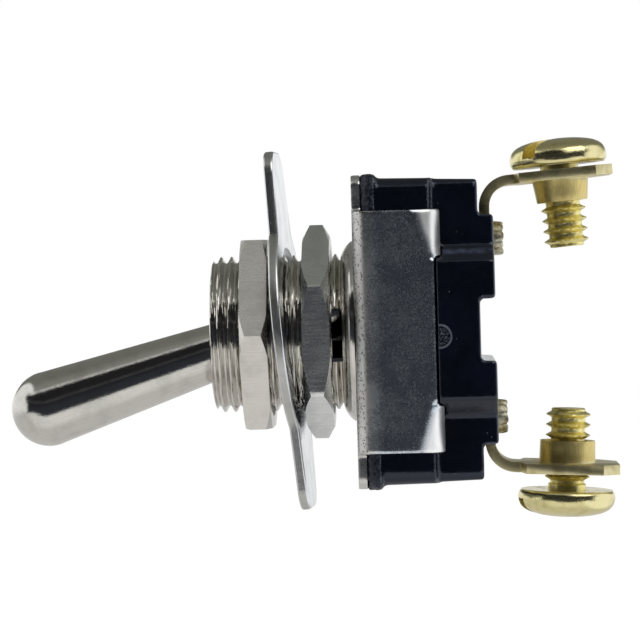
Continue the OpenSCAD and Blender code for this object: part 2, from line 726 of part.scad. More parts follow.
lever();
pivot_pin();
bushing();
front_nut();
indicator_plate();
back_nut();
mounting_frame();
case();
insulating_liner();
plunger();
lever_spring();
rocker_contact();
rocker_button();
fulcrum_strap();
fixed_contact();
fixed_button();
terminal_upper();
terminal_lower();
rivet_upper();
rivet_lower();
terminal_screw_upper();
terminal_screw_lower();
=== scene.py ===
"""Looks of a heavy-duty panel toggle switch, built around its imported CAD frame.

The row frame is in metres: the bushing's axis is X with the lever towards -X and the screw
terminals towards +X, Z is up, and the origin is on the bushing's axis at the mounting frame.
"""

from __future__ import annotations

import json
import logging
import math
from collections.abc import Callable, Iterable, Sequence
from dataclasses import dataclass, field
from enum import Enum
from functools import partial

import bmesh
import bpy
from mathutils import Matrix, Vector, noise

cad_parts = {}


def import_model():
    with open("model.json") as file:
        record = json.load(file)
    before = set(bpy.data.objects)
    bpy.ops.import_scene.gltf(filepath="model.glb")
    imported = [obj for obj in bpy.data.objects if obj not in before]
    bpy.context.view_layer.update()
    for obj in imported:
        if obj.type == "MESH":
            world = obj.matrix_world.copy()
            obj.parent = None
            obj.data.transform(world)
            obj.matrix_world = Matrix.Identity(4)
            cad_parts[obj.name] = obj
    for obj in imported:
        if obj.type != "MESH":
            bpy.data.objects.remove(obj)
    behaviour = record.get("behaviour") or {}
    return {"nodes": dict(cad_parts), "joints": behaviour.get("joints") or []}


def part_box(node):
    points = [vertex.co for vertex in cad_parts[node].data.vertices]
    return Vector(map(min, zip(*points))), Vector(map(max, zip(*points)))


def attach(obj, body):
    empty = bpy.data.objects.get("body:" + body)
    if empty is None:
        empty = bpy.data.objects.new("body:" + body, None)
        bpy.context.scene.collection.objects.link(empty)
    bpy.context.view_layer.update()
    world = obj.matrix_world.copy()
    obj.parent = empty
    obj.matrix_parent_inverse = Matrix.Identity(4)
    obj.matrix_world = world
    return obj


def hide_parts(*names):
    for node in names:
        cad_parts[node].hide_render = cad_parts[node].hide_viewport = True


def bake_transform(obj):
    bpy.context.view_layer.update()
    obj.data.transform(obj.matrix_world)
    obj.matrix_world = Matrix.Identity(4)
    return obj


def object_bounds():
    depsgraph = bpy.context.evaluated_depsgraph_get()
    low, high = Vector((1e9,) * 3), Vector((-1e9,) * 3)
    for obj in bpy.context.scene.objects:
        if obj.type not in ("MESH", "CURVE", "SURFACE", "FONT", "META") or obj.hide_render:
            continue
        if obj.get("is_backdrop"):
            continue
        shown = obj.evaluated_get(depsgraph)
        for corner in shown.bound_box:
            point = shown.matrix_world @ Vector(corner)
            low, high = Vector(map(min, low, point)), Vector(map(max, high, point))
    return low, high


LOG = logging.getLogger("toggle_switch")
MM = 0.001
TURN = 2 * math.pi
WELD_DISTANCE = 2e-7

Colour = tuple[float, float, float]
Point2 = tuple[float, float]
Row = Callable[[float], Point2]
Socket = bpy.types.NodeSocket
Mesh = bpy.types.Mesh
Obj = bpy.types.Object


# ---------------------------------------------------------------- shader building


@dataclass(frozen=True)
class Value:
    """A number that nodes work out at each point, with the usual operators."""

    nodes: Nodes
    socket: Socket

    def _math(self, operation: str, other: Value | float = 0.0) -> Value:
        """This value, combined with another by a Math node's operation."""
        node = self.nodes.node("ShaderNodeMath", {0: self, 1: other}, operation=operation)
        return Value(self.nodes, node.outputs[0])

    def __add__(self, other: Value | float) -> Value:
        """The sum."""
        return self._math("ADD", other)

    def __sub__(self, other: Value | float) -> Value:
        """The difference."""
        return self._math("SUBTRACT", other)

    def __mul__(self, other: Value | float) -> Value:
        """The product."""
        return self._math("MULTIPLY", other)

    def __abs__(self) -> Value:
        """The size without its sign."""
        return self._math("ABSOLUTE")

    def larger(self, other: Value | float) -> Value:
        """The larger of the two."""
        return self._math("MAXIMUM", other)


def toned(colour: Colour, share: float) -> Colour:
    """A colour made darker or lighter, up to full brightness."""
    return tuple(min(1.0, share * c) for c in colour)


class Nodes:
    """A node tree that is built from nothing."""

    def __init__(self, tree: bpy.types.NodeTree) -> None:
        """Empty the tree."""
        self.tree = tree
        tree.nodes.clear()

    def node(self, kind: str, inputs: dict[str | int, object], **settings: object) -> bpy.types.Node:
        """Add a node.

        Args:
            kind: The node's type.
            inputs: Constants, sockets or values for its inputs, by name or number.
            settings: Its properties.

        Returns:
            The new node.
        """
        node = self.tree.nodes.new(kind)
        for key, value in settings.items():
            setattr(node, key, value)
        for key, value in inputs.items():
            source = value.socket if isinstance(value, Value) else value
            if isinstance(source, bpy.types.NodeSocket):
                self.tree.links.new(source, node.inputs[key])
            else:
                node.inputs[key].default_value = source
        return node


class Shader(Nodes):
    """One procedural material, built around a Principled surface."""

    def __init__(self, name: str) -> None:
        """Start an empty material.

        Args:
            name: The material's name.
        """
        self.material = bpy.data.materials.new(name)
        self.material.use_nodes = True
        super().__init__(self.material.node_tree)
        self.surface = self.node("ShaderNodeBsdfPrincipled", {})
        self.output = self.node("ShaderNodeOutputMaterial", {"Surface": self.surface.outputs["BSDF"]})
        self.place = self.node("ShaderNodeTexCoord", {}).outputs["Object"]

    def set(self, **values: float | Colour) -> None:
        """Set constants on the surface's own sockets.

        Args:
            values: Socket names, with underscores for spaces, and their values.
        """
        for name, value in values.items():
            socket = self.surface.inputs[name.replace("_", " ")]
            socket.default_value = (*value, 1.0) if isinstance(value, tuple) else value

    def wire(self, name: str, source: Socket | Value) -> None:
        """Feed one of the surface's inputs."""
        socket = source.socket if isinstance(source, Value) else source
        self.tree.links.new(socket, self.surface.inputs[name])

    def show(self, surface: bpy.types.Node) -> None:
        """Show another surface in place of the Principled one."""
        self.tree.links.new(surface.outputs[0], self.output.inputs["Surface"])

    def stretched(self, scale: Sequence[float], turn: Sequence[float] = (0, 0, 0)) -> Socket:
        """Object coordinates with each axis scaled.

        Args:
            scale: The scale of each axis.
            turn: Euler angles in radians that turn the coordinates first.

        Returns:
            The scaled coordinates.
        """
        source = self.place
        if any(turn):
            source = self.node("ShaderNodeMapping", {"Vector": source, "Rotation": tuple(turn)}).outputs[0]
        return self.node("ShaderNodeMapping", {"Vector": source, "Scale": tuple(scale)}).outputs[0]

    def texture(self, kind: str, output: str, size_mm: float, at: Socket | None, **inputs: float) -> Value:
        """A texture's output, with its size in millimetres and its other inputs by name."""
        inputs = {"Vector": at or self.place, "Scale": 1.0 / (size_mm * MM), **inputs}
        return Value(self, self.node(kind, inputs).outputs[output])

    def noise(
        self, size_mm: float, detail: float = 3.0, rough: float = 0.5, at: Socket | None = None
    ) -> Value:
        """Smooth noise around one half, with patches up to size_mm and detail finer layers in it."""
        return self.texture("ShaderNodeTexNoise", "Fac", size_mm, at, Detail=detail, Roughness=rough)

    def cells(self, size_mm: float) -> Value:
        """Distance to the nearest of scattered points, as a share of their spacing in millimetres."""
        return self.texture("ShaderNodeTexVoronoi", "Distance", size_mm, None)

    def axis(self, name: str, at: Socket | None = None) -> Value:
        """The X, Y or Z coordinate, of a place on the object in metres or of another vector."""
        return Value(self, self.node("ShaderNodeSeparateXYZ", {0: at or self.place}).outputs[name])

    def blend(
        self, value: Value, low: float, high: float, to_low: float = 0.0, to_high: float = 1.0
    ) -> Value:
        """Map a range smoothly to another, clamped.

        Args:
            value: The value to map.
            low: The value that gives to_low.
            high: The value that gives to_high.
            to_low: The result at and below low.
            to_high: The result at and above high.

        Returns:
            The mapped value.
        """
        inputs = {"Value": value, "From Min": low, "From Max": high, "To Min": to_low, "To Max": to_high}
        node = self.node("ShaderNodeMapRange", inputs, interpolation_type="SMOOTHSTEP")
        return Value(self, node.outputs["Result"])

    def span(self, value: Value, low: float, high: float) -> Value:
        """Map a range, given in millimetres for a value in metres, smoothly to 0 and 1."""
        return self.blend(value, low * MM, high * MM)

    def mix(self, share: Value, first: Socket | Colour, second: Socket | Colour) -> Socket:
        """Mix two colours, with a share that says how much of the second there is."""
        pair = [(*value, 1.0) if isinstance(value, tuple) else value for value in (first, second)]
        return self.node("ShaderNodeMix", {0: share, 6: pair[0], 7: pair[1]}, data_type="RGBA").outputs[2]

    def bump(self, height: Value, depth_mm: float, under: Socket | None = None) -> Socket:
        """Turn a height from 0 to 1 into a bumped normal.

        Args:
            height: The height.
            depth_mm: How deep a height of 1 is, in millimetres.
            under: The normal of coarser bumps.

        Returns:
            The bumped normal.
        """
        inputs: dict[str | int, object] = {"Height": height, "Distance": depth_mm * MM, "Strength": 1.0}
        if under is not None:
            inputs["Normal"] = under
        return self.node("ShaderNodeBump", inputs).outputs["Normal"]

    def edges(self, radius_mm: float) -> Value:
        """Where the surface is close to a sharp edge.

        Args:
            radius_mm: How far from the edge it reaches.

        Returns:
            0 away from edges, up to 1 on them.
        """
        rounded = self.node("ShaderNodeBevel", {"Radius": radius_mm * MM}, samples=4).outputs[0]
        flat = self.node("ShaderNodeNewGeometry", {}).outputs["Normal"]
        alike = self.node("ShaderNodeVectorMath", {0: rounded, 1: flat}, operation="DOT_PRODUCT")
        return self.blend(Value(self, alike.outputs["Value"]), 0.995, 0.9)


# ---------------------------------------------------------------- finishes


class Grain(Enum):
    """Which way the fine lines of a metal surface run, as the stretch of each axis."""

    NONE = (1.0, 1.0, 1.0)
    AROUND_X = (1.0, 1 / 26.0, 1 / 26.0)
    ALONG_X = (1 / 26.0, 1.0, 1.0)
    ROLLED = (1.0, 1.0, 1 / 26.0)


@dataclass(frozen=True)
class Finish:
    """A named finish. Its lengths are in millimetres."""

    name: str

    def paint(self, shader: Shader) -> None:
        """Wire up the material."""
        raise NotImplementedError

    def material(self) -> bpy.types.Material:
        """Build the material.

        Returns:
            The material.
        """
        shader = Shader(self.name)
        self.paint(shader)
        return shader.material


@dataclass(frozen=True)
class Nickel(Finish):
    """Bright nickel plate over turned or stamped metal."""

    colour: Colour = (0.70, 0.68, 0.635)
    roughness: float = 0.13
    grain: Grain = Grain.NONE
    line_mm: float = 0.12
    depth_mm: float = 0.0012
    haze: float = 0.08
    tilt: float = 0.0
    line_tone: float = 0.0
    grit_mm: float = 0.0

    def paint(self, shader: Shader) -> None:
        """Wire up cloudy plate with fine lines in it and, where grit_mm is given, a gritty skin.

        Args:
            shader: The material under construction.
        """
        shader.set(Metallic=1.0)
        patches = shader.noise(1.9, 4.0, 0.6)
        lines = shader.noise(self.line_mm, 2.0, 0.55, shader.stretched(self.grain.value, (0, self.tilt, 0)))
        tint = shader.mix(shader.blend(patches, 0.4, 0.7), self.colour, toned(self.colour, 0.86))
        lined = shader.blend(lines, 0.5, 0.68) * self.line_tone
        shader.wire("Base Color", shader.mix(lined, tint, toned(self.colour, 0.6)))
        fine = shader.noise(0.16, 2.0, 0.6) if self.grain is Grain.NONE else lines
        marks = patches * 0.5 + fine * 0.5
        shader.wire("Roughness", shader.blend(marks, 0.38, 0.62, self.roughness, self.roughness + self.haze))
        coarse = shader.bump(patches, self.depth_mm * 6)
        if self.grit_mm:
            coarse = shader.bump(shader.noise(0.13, 3.0, 0.6), self.grit_mm, coarse)
        shader.wire("Normal", shader.bump(lines, self.depth_mm, coarse))


@dataclass(frozen=True)
class FramePlate(Finish):
    """Plated steel sheet of the mounting frame. It is speckled, pitted along its front bend, and
    pushed in over the case at its four ears, where a highlight is painted into its colour."""

    colour: Colour = (0.58, 0.63, 0.68)
    pitted_to: float = 0.8
    pitted_aside: float = 6.3
    bend_from: float = 2.3
    bend_depth: float = 0.48
    ear_at: float = 5.3
    ear_slant: float = 0.3
    press_from: float = 5.4
    press_to: float = 7.7
    press_depth: float = 0.74

    def pressing_with_highlight(self, shader: Shader) -> Value:
        """How far the sheet is pushed in towards the end of each ear, which is also where its highlight is
        painted.

        Args:
            shader: The material under construction.

        Returns:
            0 where it is flat and 1 at the deepest.
        """
        along_side = abs(shader.axis("Z"))
        reach = shader.axis("X") + (along_side - self.ear_at * MM) * self.ear_slant
        pressed_with_highlight = shader.span(reach, self.press_from, self.press_to)
        return pressed_with_highlight * shader.span(along_side, self.ear_at - 0.3, self.ear_at + 0.8)

    def paint(self, shader: Shader) -> None:
        """Wire up the tint with its painted ear highlights, the gloss and the relief of the sheet.

        Args:
            shader: The material under construction.
        """
        shader.set(Metallic=1.0)
        x = shader.axis("X")
        patches = shader.noise(3.2, 4.0, 0.65)
        pitted = shader.span(x, self.pitted_to + 0.12, self.pitted_to - 0.12)
        pitted *= shader.span(abs(shader.axis("Y")), self.pitted_aside, self.pitted_aside + 0.5)
        pits = shader.blend(shader.cells(0.22), 0.42, 0.2) * pitted
        mottle = shader.blend(shader.noise(0.16, 3.0, 0.7), 0.45, 0.72)
        pressed_with_highlight = self.pressing_with_highlight(shader)

        tint = shader.mix(shader.blend(patches, 0.35, 0.7), self.colour, toned(self.colour, 0.8))
        tint = shader.mix(mottle, tint, toned(self.colour, 1.35))
        tint = shader.mix(shader.blend(shader.cells(0.5), 0.07, 0.03), tint, (1.0, 1.0, 1.0))
        tint = shader.mix(shader.span(x, 2.0, 0.7), tint, (0.68, 0.67, 0.65))
        # Painted highlight: the colour goes near white where the ears are pushed in, standing in for the
        # bright reflection of the curved sheet.
        tint = shader.mix(shader.blend(pressed_with_highlight, 0.05, 0.4), tint, (1.0, 0.99, 0.96))
        shader.wire("Base Color", shader.mix(pits * 0.75, tint, (0.05, 0.05, 0.055)))

        dull = shader.blend(patches, 0.35, 0.7, 0.2, 0.29) + pitted * 0.14 + mottle * 0.06
        dull += shader.blend(pressed_with_highlight, 0.0, 0.3) * 0.15
        shader.wire("Roughness", dull + shader.blend(shader.edges(0.12), 0.2, 0.8, 0.0, -0.12))

        formed = shader.span(x, self.bend_from, 0.2) * -self.bend_depth - pressed_with_highlight * self.press_depth
        coarse = shader.bump(patches, 0.02, shader.bump(formed, 1.0))
        grain = shader.noise(0.13, 2.0, 0.6) * (pitted * 1.5 + 0.3)
        shader.wire("Normal", shader.bump(grain, 0.012, coarse))


@dataclass(frozen=True)
class Phenolic(Finish):
    """Moulded thermoset case: near-black blue and glossy, with a crumbled rim, a fine line of flash
    and the round mark of an ejector pin."""

    colour: Colour = (0.0009, 0.0015, 0.0042)
    edge_highlight: Colour = (0.035, 0.042, 0.07)
    roughness: float = 0.13
    rim_end: float = 1.68
    parting: float = 5.85
    pin_x: float = 6.36
    pin_z: float = -0.4
    pin_r: float = 0.84
    pin_side: float = -7.3
    highlight_z: float = 5.86
    highlight_from: float = 6.3

    def slope_highlight(self, shader: Shader) -> Value:
        """Where a pale line is painted along the case's upper slope as a highlight.

        Args:
            shader: The material under construction.

        Returns:
            0 where it isn't and 1 at the palest.
        """
        apart = abs(shader.axis("Z") - self.highlight_z * MM)
        line = shader.span(apart, 0.3, 0.04) * shader.blend(shader.noise(1.8), 0.35, 0.65)
        return line * shader.span(shader.axis("X"), self.highlight_from, self.highlight_from + 1.1)

    def pin_mark(self, shader: Shader, grit: Value) -> Value:
        """The ring of the ejector pin on the near side, and the scar inside it.

        Args:
            shader: The material under construction.
            grit: Fine noise.

        Returns:
            0 off the mark and 1 on it.
        """
        ends = {0: shader.stretched((1.0, 0.0, 1.0)), 1: (self.pin_x * MM, 0.0, self.pin_z * MM)}
        distance = shader.node("ShaderNodeVectorMath", ends, operation="DISTANCE")
        apart = Value(shader, distance.outputs["Value"])
        ring = shader.span(abs(apart - self.pin_r * MM), 0.1, 0.03)
        scar = shader.span(apart, self.pin_r, 0.6 * self.pin_r) * shader.blend(grit, 0.5, 0.62)
        near = shader.span(shader.axis("Y"), self.pin_side, self.pin_side - 0.1)
        return near * ring.larger(scar * 0.7)

    def paint(self, shader: Shader) -> None:
        """Wire up the moulding with its rim, flash, pin mark, painted highlights on its slope and edges, and
        dust.

        Args:
            shader: The material under construction.
        """
        shader.set(Specular_IOR_Level=0.65, Specular_Tint=(0.74, 0.82, 1.0))
        x = shader.axis("X")
        patches = shader.noise(3.0, 4.0, 0.6)
        skin = shader.noise(0.45, 3.0, 0.6)
        grit = shader.noise(0.16, 3.0, 0.7)
        rim = shader.span(x, self.rim_end + 0.05, self.rim_end - 0.1)
        rim_line = shader.span(abs(x - self.rim_end * MM), 0.07, 0.02)
        from_line = abs(x - self.parting * MM) + (skin - 0.5) * (0.25 * MM)
        flash = shader.span(abs(from_line - 0.13 * MM), 0.08, 0.02)
        lines = (flash * 0.75).larger(rim_line) * shader.blend(grit, 0.42, 0.6)
        marks = lines.larger(self.pin_mark(shader, grit))
        crumbs = rim * shader.blend(grit, 0.48, 0.68)

        body = shader.mix(shader.blend(patches, 0.4, 0.65), self.colour, toned(self.colour, 1.8))
        # Painted highlight: a pale, broken line along the upper slope.
        body = shader.mix(self.slope_highlight(shader), body, (0.05, 0.06, 0.1))
        body = shader.mix(crumbs, body, (0.03, 0.033, 0.045))
        # Painted highlight: the rounded edges are lightened towards a pale blue.
        body = shader.mix(shader.edges(0.2) * 0.8, body, self.edge_highlight)
        body = shader.mix(marks, body, (0.07, 0.075, 0.09))
        dust = shader.blend(shader.cells(0.8), 0.05, 0.025)
        shader.wire("Base Color", shader.mix(dust, body, (0.16, 0.16, 0.15)))
        gloss = shader.blend(skin, 0.35, 0.7, self.roughness, self.roughness + 0.1)
        shader.wire("Roughness", gloss + rim * 0.2)
        form = shader.bump(skin, 0.006, shader.bump(patches, 0.05))
        shader.wire("Normal", shader.bump(crumbs * 1.5 + marks, 0.025, form))


@dataclass(frozen=True)
class Brass(Finish):
    """Brass, bright or tarnished."""

    colour: Colour
    tarnish: Colour
    roughness: float = 0.2
    patch_mm: float = 1.2
    tarnish_from: float = 0.45
    rough_mm: float = 0.004

    def paint(self, shader: Shader) -> None:
        """Wire up the brass with its stains.

        Args:
            shader: The material under construction.
        """
        shader.set(Metallic=1.0)
        patches = shader.noise(self.patch_mm, 5.0, 0.65)
        fine = shader.noise(0.12, 3.0, 0.6)
        stain = shader.blend(patches, self.tarnish_from, self.tarnish_from + 0.22)
        shader.wire("Base Color", shader.mix(stain, self.colour, self.tarnish))
        polished = shader.blend(fine, 0.35, 0.7, self.roughness, self.roughness + 0.12)
        shader.wire("Roughness", polished + stain * 0.1)
        shader.wire("Normal", shader.bump(fine, self.rough_mm, shader.bump(patches, 4 * self.rough_mm)))


@dataclass(frozen=True)
class TerminalStrip(Finish):
    """Stamped brass of a terminal, with a browner drawn collar."""

    collar_z: float
    colour: Colour = (0.74, 0.66, 0.38)
    tarnish: Colour = (0.5, 0.44, 0.22)
    collar: Colour = (0.78, 0.64, 0.26)
    roughness: float = 0.33
    collar_x: float = 13.2

    def paint(self, shader: Shader) -> None:
        """Wire up the strip, its edges lightened as a painted highlight, and its collar.

        Args:
            shader: The material under construction.
        """
        shader.set(Metallic=1.0)
        patches = shader.noise(1.8, 4.0, 0.6)
        fine = shader.noise(0.1, 2.0, 0.6)
        drawn = shader.noise(0.09, 2.0, 0.6, shader.stretched((1.0, 1.0, 0.07)))
        on_collar = shader.span(abs(shader.axis("Z")), self.collar_z + 0.12, self.collar_z - 0.12)
        on_collar *= shader.span(shader.axis("X"), self.collar_x - 0.1, self.collar_x + 0.1)
        strip = shader.mix(shader.blend(patches, 0.42, 0.66), self.colour, self.tarnish)
        brown = shader.mix(shader.blend(drawn, 0.4, 0.62), self.collar, toned(self.collar, 0.85))
        tint = shader.mix(on_collar, strip, brown)
        # Painted highlight: the edges are lightened in the colour.
        shader.wire("Base Color", shader.mix(shader.edges(0.1) * 0.8, tint, toned(self.colour, 1.25)))
        dull = shader.blend(fine, 0.3, 0.7, self.roughness, self.roughness + 0.12)
        shader.wire("Roughness", dull + on_collar * 0.05)
        grooves = drawn * (on_collar + 0.08)
        shader.wire("Normal", shader.bump(grooves, 0.005, shader.bump(patches, 0.03)))


@dataclass(frozen=True)
class PlainMetal(Finish):
    """Steel or silver of the pieces inside."""

    colour: Colour
    roughness: float = 0.25

    def paint(self, shader: Shader) -> None:
        """Wire up the metal.

        Args:
            shader: The material under construction.
        """
        shader.set(Metallic=1.0)
        fine = shader.noise(0.2, 4.0, 0.6)
        shader.wire("Base Color", shader.mix(fine, self.colour, toned(self.colour, 0.75)))
        shader.wire("Roughness", shader.blend(fine, 0.3, 0.7, self.roughness, self.roughness + 0.15))
        shader.wire("Normal", shader.bump(fine, 0.003))


@dataclass(frozen=True)
class Fibre(Finish):
    """Pressed fibre card."""

    colour: Colour = (0.16, 0.09, 0.05)

    def paint(self, shader: Shader) -> None:
        """Wire up the card.

        Args:
            shader: The material under construction.
        """
        threads = shader.noise(0.25, 4.0, 0.7, shader.stretched((1.0, 1.0, 0.2)))
        shader.wire("Base Color", shader.mix(threads, self.colour, toned(self.colour, 1.5)))
        shader.wire("Roughness", shader.blend(threads, 0.3, 0.7, 0.55, 0.8))
        shader.wire("Normal", shader.bump(threads, 0.01))


# ---------------------------------------------------------------- mesh building


def circle(level: float, radius: float) -> Row:
    """A row of points that keeps one place along X and one radius."""
    return lambda _angle: (level, radius)


def arc(centre: Point2, radius: float, start: float, end: float, steps: int) -> list[Point2]:
    """Points along an arc, between two angles in degrees from the first axis."""
    angles = [math.radians(start + (end - start) * k / steps) for k in range(steps + 1)]
    return [(centre[0] + radius * math.cos(a), centre[1] + radius * math.sin(a)) for a in angles]


def smoothed(points: Sequence[Point2], steps: int) -> list[Point2]:
    """Run a smooth curve through the points of an outline.

    Args:
        points: The outline's points.
        steps: How many pieces lie between two of them.

    Returns:
        The points of the curve.
    """
    ends = [points[0], *points, points[-1]]
    result: list[Point2] = []
    for k in range(len(points) - 1):
        a, b, c, d = (Vector(p) for p in ends[k : k + 4])
        square, cube = 2 * a - 5 * b + 4 * c - d, 3 * b - a - 3 * c + d
        for t in (i / steps for i in range(steps)):
            spot = 0.5 * (2 * b + (c - a) * t + square * t**2 + cube * t**3)
            result.append((spot.x, spot.y))
    return [*result, points[-1]]


@dataclass
class Solid:
    """A mesh under construction, in millimetres along its own axes."""

    vertices: list[tuple[float, float, float]] = field(default_factory=list)
    faces: list[tuple[int, ...]] = field(default_factory=list)

    def ring(self, rows: Sequence[Row], columns: int, shift: int = 0) -> Solid:
        """Add rows of points round the X axis, joined into a skin.

        Args:
            rows: For each row, its place along X and its radius at an angle.
            columns: How many points each row has.
            shift: How many rows on the skin meets itself after one turn.

        Returns:
            This solid.
        """
        base = len(self.vertices)
        for row in rows:
            for angle in (TURN * c / columns for c in range(columns)):
                level, radius = row(angle)
                self.vertices.append((level, radius * math.cos(angle), radius * math.sin(angle)))
        last = len(rows) - 1
        for r in range(last):
            for c in range(columns):
                step = shift if c == columns - 1 else 0
                spots = ((r, c), (min(r + step, last), c + 1), (min(r + 1 + step, last), c + 1), (r + 1, c))
                self.faces.append(tuple(base + row * columns + column % columns for row, column in spots))
        return self

    def turned(self, outline: Sequence[Point2], columns: int) -> Solid:
        """Turn an outline, of places along X and radii, round the X axis."""
        return self.ring([circle(*point) for point in outline], columns)

    def mesh(self, name: str) -> Mesh:
        """Make the Blender mesh in metres, welded and closed.

        Args:
            name: The mesh's name.

        Returns:
            The mesh.
        """
        shape = bmesh.new()
        points = [shape.verts.new(tuple(MM * c for c in vertex)) for vertex in self.vertices]
        made: set[frozenset[int]] = set()
        for face in self.faces:
            corners = list(dict.fromkeys(face))
            if len(corners) > 2 and frozenset(corners) not in made:
                made.add(frozenset(corners))
                shape.faces.new([points[i] for i in corners])
        bmesh.ops.remove_doubles(shape, verts=shape.verts, dist=MM * 1e-4)
        bmesh.ops.dissolve_degenerate(shape, edges=shape.edges, dist=MM * 1e-4)
        bmesh.ops.recalc_face_normals(shape, faces=shape.faces)
        mesh = bpy.data.meshes.new(name)
        shape.to_mesh(mesh)
        shape.free()
        return mesh


@dataclass(frozen=True)
class Thread:
    """A helical thread round the X axis, rising and running out on a cone at each end."""

    crest: float
    root: float
    pitch: float
    start: float
    end: float
    crest_flat: float = 0.14
    root_flat: float = 0.14
    steps: int = 12
    run_out: float = 1.0
    roundness: float = 0.35

    def height(self, phase: float) -> float:
        """The thread's height at a point of its pitch.

        Args:
            phase: The point, from 0 to 1.

        Returns:
            0 in the root and 1 on the crest.
        """
        away = abs((phase % 1.0) - 0.5) * 2
        flank = (1.0 - self.root_flat - away) / (1.0 - self.root_flat - self.crest_flat)
        slope = min(1.0, max(0.0, flank))
        return slope * slope * (3 - 2 * slope) * self.roundness + slope * (1 - self.roundness)

    def spot(self, index: int, angle: float) -> Point2:
        """One point of the thread.

        Args:
            index: The number of its row, with steps rows in one turn.
            angle: Its angle round the axis.

        Returns:
            Its place along X and its radius.
        """
        step = (index - self.steps) / self.steps + angle / TURN
        level = min(self.end, max(self.start, self.start + self.pitch * step))
        inside = min(level - self.start, self.end - level) * self.run_out
        rise = min(self.height(step) * (self.crest - self.root), inside)
        return level, self.root + max(0.0, rise)

    def rows(self) -> list[Row]:
        """The rows of points from the thread's start to its end."""
        count = int(math.ceil((self.end - self.start) / self.pitch * self.steps)) + self.steps
        return [partial(self.spot, index) for index in range(count + 1)]


def add_object(name: str, data: bpy.types.ID, place: Matrix | None = None) -> Obj:
    """Put a mesh, a camera or a lamp in the scene.

    Args:
        name: The object's name.
        data: What it shows.
        place: Where a mesh's points go.

    Returns:
        The object.
    """
    if place is not None:
        data.transform(place)
    obj = bpy.data.objects.new(name, data)
    bpy.context.scene.collection.objects.link(obj)
    return obj


def clad(mesh: Mesh, *finishes: bpy.types.Material) -> None:
    """Give a mesh its finishes, in place of any that it has.

    Args:
        mesh: The mesh.
        finishes: Its materials.
    """
    mesh.materials.clear()
    for finish in finishes:
        mesh.materials.append(finish)


def shade(mesh: Mesh, sharp: float = 32.0) -> None:
    """Shade a mesh smooth, and keep its edges sharp above an angle in degrees."""
    mesh.shade_smooth()
    mesh.set_sharp_from_angle(angle=math.radians(sharp))


def settled(obj: Obj) -> Mesh:
    """The mesh of an object with its modifiers applied."""
    bpy.context.view_layer.update()
    return bpy.data.meshes.new_from_object(obj.evaluated_get(bpy.context.evaluated_depsgraph_get()))


def soften(obj: Obj, edge_mm: float, segments: int = 2, angle: float = 28.0, flat: bool = True) -> None:
    """Round the sharp edges of an object a little.

    Args:
        obj: The object.
        edge_mm: The radius of the rounded edges, in millimetres.
        segments: How many pieces each rounding has.
        angle: The angle in degrees above which an edge is rounded.
        flat: Whether the faces between the edges keep their flat shading.
    """
    bevel = obj.modifiers.new("soft_edges", "BEVEL")
    bevel.width = edge_mm * MM
    bevel.segments = segments
    bevel.limit_method = "ANGLE"
    bevel.angle_limit = math.radians(angle)
    bevel.use_clamp_overlap = True
    bevel.harden_normals = flat


def cut(obj: Obj, cutters: Iterable[Obj]) -> None:
    """Cut shapes out of an object, and remove them.

    Args:
        obj: The object that is cut.
        cutters: The shapes.
    """
    for cutter in cutters:
        modifier = obj.modifiers.new("cut", "BOOLEAN")
        modifier.operation = "DIFFERENCE"
        modifier.solver = "EXACT"
        modifier.object = cutter
        result = settled(obj)
        obj.modifiers.remove(modifier)
        obj.data = result
        bpy.data.objects.remove(cutter)


def slab(name: str, outline: Sequence[Point2], near: float, far: float) -> Obj:
    """Make a straight-sided block whose outline lies across Y.

    Args:
        name: The object's name.
        outline: Its corners along X and Z, in millimetres.
        near: Its lowest Y.
        far: Its highest Y.

    Returns:
        The block.
    """
    count = len(outline)
    block = Solid([(x, y, z) for y in (near, far) for x, z in outline])
    block.faces = [tuple(range(count)), tuple(range(count, 2 * count))]
    block.faces += [(i, (i + 1) % count, count + (i + 1) % count, count + i) for i in range(count)]
    return add_object(name, block.mesh(name))


def forward(origin: Vector) -> Matrix:
    """The place of a piece whose own X axis points out along the bushing, with its Z axis up."""
    return Matrix.Translation(origin) @ Matrix.Rotation(math.pi, 4, "Z")


def along(origin: Vector, direction: Vector) -> Matrix:
    """The place of a piece whose own X axis points along a direction."""
    turn = Vector((1, 0, 0)).rotation_difference(direction.normalized())
    return Matrix.Translation(origin) @ turn.to_matrix().to_4x4()


# ---------------------------------------------------------------- pieces


class Slot(Enum):
    """The record's material slots for the replaced pieces, passed along but not set on them."""

    NICKEL = "nickel_plate"
    FRAME = "frame_plate"
    PHENOLIC = "phenolic"
    RIVET = "rivet_brass"
    SCREW = "screw_brass"
    SPRING = "spring_steel"


